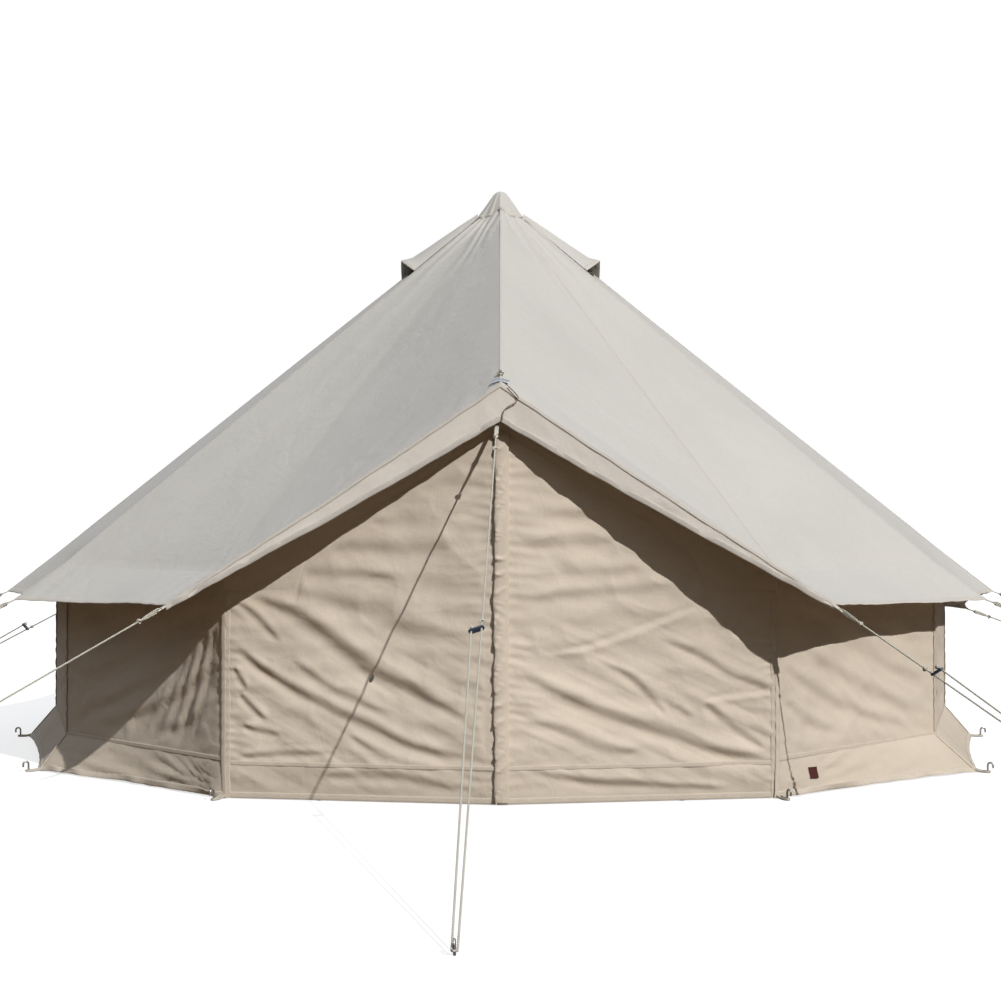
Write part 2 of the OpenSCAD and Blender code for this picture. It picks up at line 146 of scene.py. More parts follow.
def crease_web(noise: Noise, x: Array, y: Array, height: float) -> Array:
    """A web of sharp little creases, as on cloth that was packed away.

    Args:
        noise: the noise to draw from.
        x: places along the cloth, in metres.
        y: heights on the cloth, in metres.
        height: how high the creases stand.

    Returns:
        The height at each place.
    """
    wide = 0.5 - np.abs(noise.fractal(x * 4.1 + y * 1.3, y * 6.3 - x * 1.1, 2))
    fine = 0.5 - np.abs(noise.fractal(x * 8.7 - y * 3.1 + 7, y * 10.1 + x * 2.3, 2))
    return (wide + 0.45 * fine) * height


def fold(phase: Array, sharp: float = 1.6) -> Array:
    """A row of cloth folds, one to a unit of phase, with crests narrower than the hollows."""
    return (0.5 + 0.5 * np.sin(2 * math.pi * phase)) ** sharp - 0.4


@dataclass(frozen=True)
class Crease:
    """A fold that runs along a line drawn on the flat cloth.

    The cloth rises on the line's upper side and falls on its lower side.
    """

    line: tuple[tuple[float, float], ...]
    width: float
    height: float

    def lift(self, x: Array, z: Array) -> Array:
        """How far the fold pushes the cloth out.

        Args:
            x: flat distance across the cloth.
            z: flat height on the cloth.

        Returns:
            The push at each point, in metres.
        """
        pts = rounded([np.array(q) for q in self.line], 5)
        runs = np.concatenate([[0], np.cumsum(np.linalg.norm(np.diff(pts, axis=0), axis=1))])
        near = np.full(np.shape(x), 9.0)
        share = np.zeros(np.shape(x))
        for (ax, az), (bx, bz), run in zip(pts[:-1], pts[1:], runs[:-1]):
            dx, dz = bx - ax, bz - az
            size = math.hypot(dx, dz)
            t = np.clip(((x - ax) * dx + (z - az) * dz) / size**2, 0, 1)
            ex, ez = x - ax - t * dx, z - az - t * dz
            off = np.hypot(ex, ez) * np.where(dx * ez - dz * ex > 0, 1, -1) * np.sign(dx)
            closer = np.abs(off) < np.abs(near)
            near = np.where(closer, off, near)
            share = np.where(closer, (run + t * size) / runs[-1], share)
        w = self.width * (0.75 + 0.5 * np.sin(math.pi * share))
        taper = smooth(share, 0.0, 0.12) * smooth(1 - share, 0.0, 0.25)
        return self.height * 1.65 * near / w * np.exp(-0.5 * (near / w) ** 2) * taper


def creased(x: Array, z: Array, creases: Sequence[Crease]) -> Array:
    """The push of several folds together."""
    return sum((c.lift(x, z) for c in creases), np.zeros(np.broadcast(x, z).shape))


# --- meshes -------------------------------------------------------------------------------


@dataclass
class Grid:
    """A sheet of points in rows and columns, with flat coordinates in metres."""

    pts: Array
    uv: Array

    def area(self) -> float:
        """The sheet's area in square metres."""
        p = self.pts
        d1, d2 = p[1:, 1:] - p[:-1, :-1], p[1:, :-1] - p[:-1, 1:]
        return float(np.linalg.norm(np.cross(d1, d2), axis=-1).sum() / 2)


def build(name: str, verts: Array, faces: list, uvs: list | None = None) -> bpy.types.Object:
    """Makes a smooth mesh object.

    Args:
        name: the object's name.
        verts: points, one row each.
        faces: corner indices of each face.
        uvs: one pair for each face corner, in order.

    Returns:
        The linked object.
    """
    mesh = bpy.data.meshes.new(name)
    mesh.from_pydata([tuple(v) for v in verts], [], faces)
    if uvs is not None:
        layer = mesh.uv_layers.new(name="flat")
        layer.data.foreach_set("uv", np.asarray(uvs, np.float32).ravel())
    mesh.shade_smooth()
    mesh.update()
    obj = bpy.data.objects.new(name, mesh)
    bpy.context.scene.collection.objects.link(obj)
    return obj


def grid_mesh(name: str, grids: Sequence[Grid], closed: bool = False) -> bpy.types.Object:
    """Makes one object from one or more grids.

    Args:
        name: the object's name.
        grids: sheets of points, each of its own size.
        closed: whether each grid's last column is its first one again.

    Returns:
        The linked object.
    """
    verts, faces, uvs, base = [], [], [], 0
    for g in grids:
        rows, cols = g.pts.shape[:2]
        used = cols - 1 if closed else cols
        verts.append(g.pts[:, :used].reshape(-1, 3))
        for i in range(rows - 1):
            for j in range(cols - 1):
                k = (j + 1) % used if closed else j + 1
                faces.append([base + i * used + j, base + i * used + k,
                              base + (i + 1) * used + k, base + (i + 1) * used + j])
                uvs += [g.uv[i, j], g.uv[i, j + 1], g.uv[i + 1, j + 1], g.uv[i + 1, j]]
        base += rows * used
    return build(name, np.concatenate(verts), faces, uvs)


def tube_grid(path: Array, radius: float | Array, sides: int = 10) -> Grid:
    """A round tube swept along a path, as a grid whose last column is its first.

    Args:
        path: points along the centreline.
        radius: one radius, or one for each point.
        sides: how many sides the tube has.

    Returns:
        The grid, with metres along and around as its flat coordinates.
    """
    path = np.asarray(path, float)
    t = unit(np.gradient(path, axis=0))
    ref = vec(0, 0, 1) if abs(t[0][2]) < 0.9 else vec(0, 1, 0)
    x = unit(np.cross(ref, t[0]))
    frames = []
    for d in t:
        x = unit(x - d * np.dot(x, d))
        frames.append((x, np.cross(d, x)))
    r = np.broadcast_to(np.asarray(radius, float), (len(path),))
    ang = np.linspace(0, 2 * math.pi, sides + 1)
    rows = [p + (np.outer(np.cos(ang), fx) + np.outer(np.sin(ang), fy)) * ri
            for p, (fx, fy), ri in zip(path, frames, r)]
    run = np.concatenate([[0], np.cumsum(np.linalg.norm(np.diff(path, axis=0), axis=1))])
    uv = np.stack(np.meshgrid(run, ang * float(r.mean()), indexing="ij"), -1)
    return Grid(np.array(rows), uv)


def tube_mesh(name: str, paths: Sequence[Array], radius: float | Array,
              sides: int = 10) -> bpy.types.Object:
    """Makes one object of round tubes with rounded ends."""
    grids = []
    for path in paths:
        path = np.asarray(path, float)
        r = float(np.mean(radius))
        a, b = unit(path[0] - path[1]) * r * 0.5, unit(path[-1] - path[-2]) * r * 0.5
        whole = np.concatenate([[path[0] + a], [path[0] + a * 0.7], path,
                                [path[-1] + b * 0.7], [path[-1] + b]])
        radii = np.concatenate([[r * 0.3, r * 0.75], np.full(len(path), r), [r * 0.75, r * 0.3]])
        grids.append(tube_grid(whole, radii, sides))
    return grid_mesh(name, grids, closed=True)


def spread(points: Sequence[Array], step: float) -> Array:
    """The polyline through points, resampled about every step metres, corners kept."""
    out = [np.asarray(points[0], float)]
    for a, b in zip(points[:-1], points[1:]):
        n = max(1, round(float(np.linalg.norm(np.asarray(b) - np.asarray(a))) / step))
        out += [mix(np.asarray(a, float), np.asarray(b, float), i / n) for i in range(1, n + 1)]
    return np.array(out)


def rounded(points: Sequence[Array], per: int = 8) -> Array:
    """A smooth curve through points."""
    p = [np.asarray(q, float) for q in points]
    p = [2 * p[0] - p[1]] + p + [2 * p[-1] - p[-2]]
    out = []
    for i in range(1, len(p) - 2):
        for k in range(per):
            t = k / per
            out.append(0.5 * (2 * p[i] + (p[i + 1] - p[i - 1]) * t
                              + (2 * p[i - 1] - 5 * p[i] + 4 * p[i + 1] - p[i + 2]) * t * t
                              + (3 * p[i] - p[i - 1] - 3 * p[i + 1] + p[i + 2]) * t**3))
    return np.array(out + [p[-2]])


def ribbon_grid(path: Array, across: Array, width: float, thick: float) -> Grid:
    """A flat strap with rounded edges along a path.

    Args:
        path: points along the strap's middle.
        across: the direction across the strap, one for all or one for each point.
        width: the strap's width.
        thick: its thickness.

    Returns:
        A grid round the strap whose last column is its first.
    """
    path = np.asarray(path, float)
    t = unit(np.gradient(path, axis=0))
    w = unit(np.broadcast_to(across, path.shape))
    n = unit(np.cross(t, w))
    h, e = width / 2, thick / 2
    ring = [(-h, 0), (-h + e, e), (-h * 0.4, e), (h * 0.4, e), (h - e, e), (h, 0),
            (h - e, -e), (h * 0.4, -e), (-h * 0.4, -e), (-h + e, -e), (-h, 0)]
    pts = np.stack([path + w * a + n * b for a, b in ring], 1)
    run = np.concatenate([[0], np.cumsum(np.linalg.norm(np.diff(path, axis=0), axis=1))])
    uv = np.stack(np.meshgrid(run, [a for a, _ in ring], indexing="ij"), -1)
    return Grid(pts, uv)


def lathe_grid(profile: Sequence[tuple[float, float]], origin: Array, axis: Array,
               sides: int = 28) -> Grid:
    """Turns a profile of (radius, height) pairs round an axis."""
    z = unit(np.asarray(axis, float))
    x = unit(np.cross(vec(0, 1, 0) if abs(z[1]) < 0.9 else vec(1, 0, 0), z))
    y = np.cross(z, x)
    ang = np.linspace(0, 2 * math.pi, sides + 1)
    rows = [origin + (np.outer(np.cos(ang), x) + np.outer(np.sin(ang), y)) * r + z * h
            for r, h in profile]
    run = np.arange(len(profile)) * 0.003
    uv = np.stack(np.meshgrid(run, ang * 0.01, indexing="ij"), -1)
    return Grid(np.array(rows), uv)


def grommet(origin: Array, axis: Array, hole: float, rim: float) -> Grid:
    """A rolled metal eyelet."""
    h = 0.0016
    profile = [(hole, -h), (hole - 0.0004, 0), (hole, h), (hole + 0.001, h * 1.6),
               ((hole + rim) / 2, h * 1.9), (rim - 0.0006, h * 1.4), (rim, h * 0.6),
               (rim, -h * 0.6), ((hole + rim) / 2, -h * 1.5), (hole, -h)]
    return lathe_grid(profile, origin, axis)


# --- finishes -----------------------------------------------------------------------------


class Nodes:
    """A short way to write a material's node tree."""

    def __init__(self, name: str) -> None:
        """Starts an empty material with a Principled shader."""
        self.material = bpy.data.materials.new(name)
        self.material.use_nodes = True
        self.tree = self.material.node_tree
        self.tree.nodes.clear()
        self.out = self.add("ShaderNodeOutputMaterial")
        self.shader = self.add("ShaderNodeBsdfPrincipled")
        self.link(self.shader.outputs[0], self.out.inputs[0])

    def add(self, kind: str, **props: object) -> bpy.types.Node:
        """Adds a node and sets its properties."""
        node = self.tree.nodes.new(kind)
        for key, value in props.items():
            setattr(node, key, value)
        return node

    def link(self, a: bpy.types.NodeSocket, b: bpy.types.NodeSocket) -> None:
        """Joins two sockets."""
        self.tree.links.new(a, b)

    def maths(self, op: str, a: object, b: object = 0.0, c: object = 0.0) -> bpy.types.NodeSocket:
        """A Math node, whose inputs are sockets or numbers."""
        node = self.add("ShaderNodeMath", operation=op)
        for i, value in enumerate((a, b, c)):
            if isinstance(value, bpy.types.NodeSocket):
                self.link(value, node.inputs[i])
            else:
                node.inputs[i].default_value = float(value)
        return node.outputs[0]

    def scaled(self, source: bpy.types.NodeSocket, scale: tuple) -> bpy.types.NodeSocket:
        """Coordinates stretched along each axis."""
        node = self.add("ShaderNodeMapping")
        node.inputs["Scale"].default_value = scale
        self.link(source, node.inputs["Vector"])
        return node.outputs[0]

    def noise(self, source: bpy.types.NodeSocket, scale: float, detail: float = 3.0,
              distortion: float = 0.0) -> bpy.types.NodeSocket:
        """A noise texture's value."""
        node = self.add("ShaderNodeTexNoise")
        node.inputs["Scale"].default_value = scale
        node.inputs["Detail"].default_value = detail
        node.inputs["Distortion"].default_value = distortion
        self.link(source, node.inputs["Vector"])
        return node.outputs[0]

    def ramp(self, value: bpy.types.NodeSocket, stops: Sequence) -> bpy.types.NodeSocket:
        """A colour ramp over (place, colour) stops."""
        node = self.add("ShaderNodeValToRGB")
        els = node.color_ramp.elements
        while len(els) < len(stops):
            els.new(0.5)
        for el, (place, colour) in zip(els, stops):
            el.position = place
            el.color = (*colour, 1.0)
        self.link(value, node.inputs[0])
        return node.outputs[0]

    def blend(self, kind: str, share: object, a: object, b: object) -> bpy.types.NodeSocket:
        """Mixes two colours."""
        node = self.add("ShaderNodeMix", data_type="RGBA", blend_type=kind)
        for i, value in ((0, share), (6, a), (7, b)):
            if isinstance(value, bpy.types.NodeSocket):
                self.link(value, node.inputs[i])
            elif i == 0:
                node.inputs[0].default_value = float(value)
            else:
                node.inputs[i].default_value = (*value, 1.0)
        return node.outputs[2]

    def bump(self, height: bpy.types.NodeSocket, strength: float, distance: float,
             under: bpy.types.NodeSocket | None = None) -> bpy.types.NodeSocket:
        """A bump node's normal."""
        node = self.add("ShaderNodeBump")
        node.inputs["Strength"].default_value = strength
        node.inputs["Distance"].default_value = distance
        self.link(height, node.inputs["Height"])
        if under is not None:
            self.link(under, node.inputs["Normal"])
        return node.outputs[0]

    def uv(self) -> bpy.types.NodeSocket:
        """The flat coordinates, in metres."""
        return self.add("ShaderNodeTexCoord").outputs["UV"]

    def place(self) -> bpy.types.NodeSocket:
        """The object's own coordinates, in metres."""
        return self.add("ShaderNodeTexCoord").outputs["Object"]


def tint(colour: Colour, factor: float) -> Colour:
    """A colour made lighter or darker."""
    return tuple(min(1.0, c * factor) for c in colour)


@dataclass(frozen=True)
class CanvasFinish:
    """Plain-weave cotton canvas with slubs, soft creases and a little dust."""

    name: str
    colour: Colour
    variation: float = 0.05
    crinkle: float = 0.35
    crinkle_size: float = 9.0
    dirt: float = 0.25
    roughness: float = 0.92

    def make(self) -> bpy.types.Material:
        """Builds the material."""
        n = Nodes(self.name)
        uv, place = n.uv(), n.place()
        broad = n.noise(place, 1.7, 4.0, 0.3)
        base = n.ramp(broad, [(0.3, tint(self.colour, 1 - self.variation)),
                              (0.7, tint(self.colour, 1 + self.variation))])
        slub_u = n.noise(n.scaled(uv, (25.0, 620.0, 1.0)), 1.0, 2.0)
        slub_v = n.noise(n.scaled(uv, (620.0, 25.0, 1.0)), 1.0, 2.0)
        slubs = n.maths("MULTIPLY", n.maths("ADD", slub_u, slub_v), 0.5)
        cloth = n.blend("MULTIPLY", 0.55, base,
                        n.ramp(slubs, [(0.36, (0.86, 0.85, 0.83)), (0.6, (1.0, 1.0, 1.0))]))
        height = n.add("ShaderNodeSeparateXYZ")
        n.link(place, height.inputs[0])
        low = n.maths("SUBTRACT", 0.19, height.outputs[2])
        low = n.maths("MULTIPLY", n.maths("MAXIMUM", low, 0.0), 4.0)
        patch = n.maths("MULTIPLY", low, n.noise(n.scaled(place, (1.0, 1.0, 3.0)), 6.0, 5.0))
        patch = n.maths("MINIMUM", n.maths("MULTIPLY", patch, self.dirt * 3.0), 0.6)
        dusty = n.blend("MIX", patch, cloth, (0.42, 0.36, 0.27))
        n.link(dusty, n.shader.inputs["Base Color"])
        warp = n.add("ShaderNodeTexWave", wave_type="BANDS", bands_direction="X")
        weft = n.add("ShaderNodeTexWave", wave_type="BANDS", bands_direction="Y")
        for wave in (warp, weft):
            wave.inputs["Scale"].default_value = 330.0
            wave.inputs["Distortion"].default_value = 0.4
            n.link(uv, wave.inputs["Vector"])
        weave = n.maths("ADD", n.maths("MULTIPLY", n.maths("ADD", warp.outputs[1],
                                                           weft.outputs[1]), 0.25),
                        n.maths("MULTIPLY", slubs, 0.7))
        soft = n.noise(place, self.crinkle_size, 5.0, 0.9)
        fine = n.noise(place, self.crinkle_size * 5.5, 4.0, 1.2)
        crease = n.maths("ABSOLUTE", n.maths("SUBTRACT", soft, 0.5))
        crease = n.maths("MINIMUM", n.maths("MULTIPLY", crease, 3.2), 1.0)
        relief = n.maths("ADD", crease, n.maths("MULTIPLY", fine, 0.4))
        first = n.bump(relief, self.crinkle, 0.012)
        n.link(n.bump(weave, 0.35, 0.0009, first), n.shader.inputs["Normal"])
        n.shader.inputs["Roughness"].default_value = self.roughness
        n.shader.inputs["Specular IOR Level"].default_value = 0.2
        n.shader.inputs["Sheen Weight"].default_value = 0.12
        n.shader.inputs["Sheen Roughness"].default_value = 0.5
        return n.material


@dataclass(frozen=True)
class StitchedFinish:
    """A hem or seam of folded canvas with lines of stitches along it."""

    name: str
    colour: Colour
    thread: Colour
    rows: tuple[float, ...]
    pitch: float = 0.0042

    def make(self) -> bpy.types.Material:
        """Builds the material."""
        n = Nodes(self.name)
        uv, place = n.uv(), n.place()
        axes = n.add("ShaderNodeSeparateXYZ")
        n.link(uv, axes.inputs[0])
        run, across = axes.outputs[0], axes.outputs[1]
        dash = n.maths("FRACT", n.maths("DIVIDE", run, self.pitch))
        dash = n.maths("LESS_THAN", dash, 0.68)
        lines = None
        for row in self.rows:
            off = n.maths("ABSOLUTE", n.maths("SUBTRACT", across, row))
            near = n.maths("LESS_THAN", off, 0.00065)
            lines = near if lines is None else n.maths("MAXIMUM", lines, near)
        stitch = n.maths("MULTIPLY", dash, lines)
        slubs = n.noise(n.scaled(uv, (40.0, 600.0, 1.0)), 1.0, 2.0)
        cloth = n.ramp(slubs, [(0.35, tint(self.colour, 0.9)), (0.65, tint(self.colour, 1.04))])
        patchy = n.blend("MULTIPLY", 0.4, cloth,
                         n.ramp(n.noise(place, 14.0, 3.0), [(0.3, (0.85, 0.84, 0.82)),
                                                            (0.7, (1.0, 1.0, 1.0))]))
        n.link(n.blend("MIX", stitch, patchy, self.thread), n.shader.inputs["Base Color"])
        pucker = n.noise(n.scaled(uv, (70.0, 12.0, 1.0)), 1.0, 3.0)
        first = n.bump(pucker, 0.35, 0.002)
        second = n.bump(slubs, 0.3, 0.0006, first)
        n.link(n.bump(stitch, 0.7, 0.0007, second), n.shader.inputs["Normal"])
        n.shader.inputs["Roughness"].default_value = 0.9
        n.shader.inputs["Specular IOR Level"].default_value = 0.2
        n.shader.inputs["Sheen Weight"].default_value = 0.1
        return n.material


@dataclass(frozen=True)
class RopeFinish:
    """Braided rope: two sets of strands that cross round it, with painted shade in the grooves
    between them.
    """

    name: str
    colour: Colour
    radius: float
    pitch: float = 0.009

    def make(self) -> bpy.types.Material:
        """Builds the material."""
        n = Nodes(self.name)
        uv, place = n.uv(), n.place()
        axes = n.add("ShaderNodeSeparateXYZ")
        n.link(uv, axes.inputs[0])
        along = n.maths("DIVIDE", axes.outputs[0], self.pitch)
        around = n.maths("DIVIDE", axes.outputs[1], 2 * math.pi * self.radius / 2)
        left = n.maths("SINE", n.maths("MULTIPLY", n.maths("ADD", along, around), 2 * math.pi))
        right = n.maths("SINE", n.maths("MULTIPLY", n.maths("SUBTRACT", along, around),
                                        2 * math.pi))
        braid = n.maths("MAXIMUM", left, right)
        # Painted shade: the rope's colour falls to half in the grooves between the strands; the
        # noise after it darkens worn patches.
        groove_shade = n.ramp(braid, [(0.1, tint(self.colour, 0.5)), (0.75, tint(self.colour, 1.0))])
        worn_with_groove_shade = n.blend("MULTIPLY", 0.5, groove_shade,
                       n.ramp(n.noise(place, 30.0, 4.0), [(0.3, (0.8, 0.78, 0.72)),
                                                          (0.65, (1.0, 1.0, 1.0))]))
        n.link(worn_with_groove_shade, n.shader.inputs["Base Color"])
        n.link(n.bump(braid, 0.8, 0.0012), n.shader.inputs["Normal"])
        n.shader.inputs["Roughness"].default_value = 0.85
        n.shader.inputs["Sheen Weight"].default_value = 0.2
        return n.material


@dataclass(frozen=True)
class MetalFinish:
    """Bare or coated metal with scuffs and dull patches."""

    name: str
    colour: Colour
    scuff: Colour
    metallic: float = 1.0
    roughness: float = 0.4
    wear: float = 0.62

    def make(self) -> bpy.types.Material:
        """Builds the material."""
        n = Nodes(self.name)
        place = n.place()
        cloud = n.noise(place, 34.0, 6.0, 0.6)
        scratch = n.noise(n.scaled(place, (160.0, 160.0, 9.0)), 1.0, 4.0)
        mask = n.ramp(scratch, [(self.wear, (0, 0, 0)), (self.wear + 0.1, (1, 1, 1))])
        base = n.ramp(cloud, [(0.3, tint(self.colour, 0.82)), (0.7, tint(self.colour, 1.1))])
        n.link(n.blend("MIX", mask, base, self.scuff), n.shader.inputs["Base Color"])
        rough = n.maths("ADD", n.maths("MULTIPLY", cloud, 0.3), self.roughness - 0.15)
        n.link(rough, n.shader.inputs["Roughness"])
        n.link(n.bump(scratch, 0.15, 0.0004), n.shader.inputs["Normal"])
        n.shader.inputs["Metallic"].default_value = self.metallic
        return n.material


@dataclass(frozen=True)
class MouldedFinish:
    """Moulded plastic with a faint grain."""

    name: str
    colour: Colour
    roughness: float = 0.5

    def make(self) -> bpy.types.Material:
        """Builds the material."""
        n = Nodes(self.name)
        place = n.place()
        grain = n.noise(place, 900.0, 2.0)
        cloud = n.noise(place, 25.0, 4.0)
        n.link(n.ramp(cloud, [(0.3, tint(self.colour, 0.8)), (0.7, tint(self.colour, 1.3))]),
               n.shader.inputs["Base Color"])
        n.link(n.bump(grain, 0.25, 0.0003), n.shader.inputs["Normal"])
        n.shader.inputs["Roughness"].default_value = self.roughness
        return n.material


@dataclass(frozen=True)
class NettingFinish:
    """Fine dark insect netting, its open cells painted darker than the threads as painted shade of
    the unlit inside behind it.
    """

    name: str
    colour: Colour

    def make(self) -> bpy.types.Material:
        """Builds the material."""
        n = Nodes(self.name)
        uv = n.uv()
        cells = n.add("ShaderNodeTexVoronoi", feature="DISTANCE_TO_EDGE")
        cells.inputs["Scale"].default_value = 500.0
        n.link(uv, cells.inputs["Vector"])
        # Painted shade: the cells between the threads take the dark colour of the unlit inside
        # seen through the netting; the threads at the cell edges are the lighter tint.
        n.link(n.ramp(cells.outputs[0], [(0.05, tint(self.colour, 2.2)), (0.2, self.colour)]),
               n.shader.inputs["Base Color"])
        n.link(n.bump(cells.outputs[0], 0.6, 0.0008), n.shader.inputs["Normal"])
        n.shader.inputs["Roughness"].default_value = 0.8
        return n.material


@dataclass(frozen=True)
class GroundFinish:
    """A plain pale floor."""

    name: str
    colour: Colour
    glow: float = 0.70

    def make(self) -> bpy.types.Material:
        """Builds the material."""
        n = Nodes(self.name)
        n.shader.inputs["Base Color"].default_value = (*self.colour, 1.0)
        n.shader.inputs["Roughness"].default_value = 0.95
        n.shader.inputs["Specular IOR Level"].default_value = 0.0
        n.shader.inputs["Emission Color"].default_value = (1.0, 1.0, 1.0, 1.0)
        n.shader.inputs["Emission Strength"].default_value = self.glow
        return n.material


ROOF_COLOUR = (0.58, 0.56, 0.53)
WALL_COLOUR = (0.70, 0.615, 0.52)
THREAD = (0.66, 0.61, 0.53)


@dataclass
class Palette:
    """Every finish in use, made once."""

    roof: bpy.types.Material = field(init=False)
    valance: bpy.types.Material = field(init=False)
    wall: bpy.types.Material = field(init=False)
    flap: bpy.types.Material = field(init=False)
    seam_roof: bpy.types.Material = field(init=False)
    seam_wall: bpy.types.Material = field(init=False)
    webbing: bpy.types.Material = field(init=False)
    tape: bpy.types.Material = field(init=False)
    rope: bpy.types.Material = field(init=False)
    peak_cord: bpy.types.Material = field(init=False)
    steel: bpy.types.Material = field(init=False)
    peg: bpy.types.Material = field(init=False)
    brass: bpy.types.Material = field(init=False)
    runner: bpy.types.Material = field(init=False)
    slider: bpy.types.Material = field(init=False)
    plastic: bpy.types.Material = field(init=False)
    teeth: bpy.types.Material = field(init=False)
    netting: bpy.types.Material = field(init=False)
    tag: bpy.types.Material = field(init=False)
    ground: bpy.types.Material = field(init=False)

    def __post_init__(self) -> None:
        """Makes the finishes."""
        self.roof = CanvasFinish("roof_canvas", ROOF_COLOUR, 0.035, 0.16, 5.0, 0.0).make()
        # Painted light: the valance is cut from the roof's canvas but gets a lighter copy of it,
        # so it shows as bright as the sunlit roof although it catches less light.
        self.valance = CanvasFinish("valance_canvas_painted_light", (0.72, 0.675, 0.625), 0.035, 0.14, 6.0,
                                    0.0).make()
        self.wall = CanvasFinish("wall_canvas", WALL_COLOUR, 0.05, 0.15, 9.0, 0.3).make()
        self.flap = CanvasFinish("flap_canvas", WALL_COLOUR, 0.05, 0.13, 8.0, 0.2).make()
        self.seam_roof = StitchedFinish("roof_seam", (0.585, 0.55, 0.505), THREAD,
                                        (-0.0065, 0.0065)).make()
        self.seam_wall = StitchedFinish("wall_seam", tint(WALL_COLOUR, 0.96), THREAD,
                                        (-0.0065, 0.0065)).make()
        self.webbing = StitchedFinish("cotton_webbing", (0.60, 0.57, 0.51), THREAD,
                                      (-0.009, 0.009), 0.0036).make()
        self.tape = StitchedFinish("zip_tape", (0.62, 0.56, 0.46), THREAD, (-0.004,)).make()
        self.rope = RopeFinish("guy_rope", (0.72, 0.69, 0.60), 0.003).make()
        self.peak_cord = RopeFinish("peak_cord", (0.46, 0.36, 0.28), 0.0022).make()
        self.steel = MetalFinish("galvanised_tube", (0.62, 0.64, 0.66), (0.80, 0.80, 0.80)).make()
        self.peg = MetalFinish("peg_wire", (0.56, 0.57, 0.58), (0.36, 0.33, 0.30),
                               1.0, 0.45, 0.55).make()
        self.brass = MetalFinish("eyelet", (0.50, 0.44, 0.32), (0.7, 0.65, 0.5)).make()
        self.runner = MetalFinish("runner_coat", (0.045, 0.065, 0.105), (0.35, 0.36, 0.38),
                                  0.25, 0.42, 0.66).make()
        self.slider = MetalFinish("slider_coat", (0.08, 0.08, 0.085), (0.4, 0.4, 0.4),
                                  0.5, 0.4, 0.66).make()
        self.plastic = MouldedFinish("moulded_black", (0.03, 0.03, 0.03)).make()
        self.teeth = MouldedFinish("zip_teeth", (0.50, 0.45, 0.36), 0.35).make()
        self.netting = NettingFinish("netting", (0.035, 0.035, 0.03)).make()
        self.tag = StitchedFinish("woven_tag", (0.085, 0.024, 0.021), (0.20, 0.10, 0.08),
                                  (-0.019, 0.019), 0.003).make()
        self.ground = GroundFinish("floor", (0.42, 0.42, 0.42)).make()


def dress(obj: bpy.types.Object, material: bpy.types.Material,
          body: str) -> bpy.types.Object:
    """Gives a piece its finish and its body."""
    obj.data.materials.clear()
    obj.data.materials.append(material)
    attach(obj, body)
    return obj


# --- the tent's plan ----------------------------------------------------------------------


@dataclass(frozen=True)
class Plan:
    """The tent's driving sizes in metres, as in the frame."""

    sides: int = 12
    wall_r: float = 1.970
    wall_top: float = 0.812
    roof_top: float = 2.375
    peak: tuple[float, float, float] = (0.0, -1.920, 1.457)
    apex_hole: float = 0.060
    eave_out: float = 0.210
    eave_drop: float = 0.155
    band_h: float = 0.138
    valance_h: float = 0.125
    door_y: float = 1.863
    flap_low: float = 0.735
    flap_top: float = 1.303
    flap_lift: float = 0.008
    split_x: float = 0.013
    strip_w: float = 0.052
    strip_gap: float = 0.011
    rope_r: float = 0.003
    peg_r: float = 0.0035
    corner_turn: tuple = (0, 0, 0, 0, -12, 0, 0, 0, 0, 0, 0, 0)
    extra_out: tuple = (0, 0.1, -0.005, 0.005, 0.19, 0, 0, 0, 0, 0.005, -0.005, 0.1)
    extra_drop: tuple = (0, -0.048, -0.015, 0.01, 0.135, 0.005, 0.005, 0.005, 0.005, 0.01,
                         -0.015, -0.048)
    flare: tuple = (0, 0.015, 0.17, 0.12, 0.12, 0.12, 0.12, 0.12, 0.12, 0.12, 0.11, 0.015)
    guy_azimuth: tuple = (-2.6, 46, 60, 90, 110, 150, 180, 210, 240, 270, 300, -46)
    guy_run: tuple = (2.08, 1.28, 1.9, 1.8, 1.55, 1.5, 1.5, 1.5, 1.5, 1.5, 1.5, 1.56)
    runner_at: tuple = (1.15, 0.44, 0.85, 0.85, 0.8, 0.7, 0.7, 0.7, 0.7, 0.7, 0.7, 1.0)
    tab_l: float = 0.046
    runner_l: float = 0.062
    runner_t: float = 0.007
    tilt: float = 30.0

    @property
    def step(self) -> float:
        """Degrees from one corner to the next."""
        return 360.0 / self.sides

    @property
    def slope(self) -> float:
        """Fall of an ordinary roof ridge."""
        return (self.roof_top - self.wall_top) / self.wall_r

    @property
    def front_slope(self) -> float:
        """Fall of the front ridge."""
        return (self.roof_top - self.peak[2]) / -self.peak[1]

    def top(self, k: int) -> Array:
        """The canvas at the pole's head, on corner line k."""
        fall = self.front_slope if k % self.sides == 0 else self.slope
        return polar(k * self.step, self.apex_hole, self.roof_top - self.apex_hole * fall)

    def knee(self, k: int) -> Array:
        """The seam of roof and wall at corner k."""
        return polar(k * self.step, self.wall_r, self.wall_top)

    def tip(self, k: int) -> Array:
        """The eave corner k."""
        i = k % self.sides
        if i == 0:
            return vec(*self.peak)
        return polar(k * self.step + self.corner_turn[i],
                     self.wall_r + self.eave_out + self.extra_out[i],
                     self.wall_top - self.eave_drop - self.extra_drop[i])

    def hem_r(self, k: int) -> float:
        """Radius of the ground band's hem at corner k."""
        return self.wall_r + self.flare[k % self.sides]

    def guy_top(self, k: int) -> Array:
        """Where guy k pulls on the canvas."""
        if k == 0:
            return vec(-0.014, self.peak[1] - 0.020, self.peak[2] - self.valance_h - 0.032)
        return self.tip(k) + vec(0, 0, -0.002)

    def guy_dir(self, k: int) -> Array:
        """The level direction of guy k."""
        return polar(self.guy_azimuth[k], 1.0, 0.0)

    def peg(self, k: int) -> Array:
        """The ground point of guy peg k."""
        p = self.guy_top(k) + self.guy_dir(k) * self.guy_run[k]
        return vec(p[0], p[1], 0.0)


PLAN = Plan()


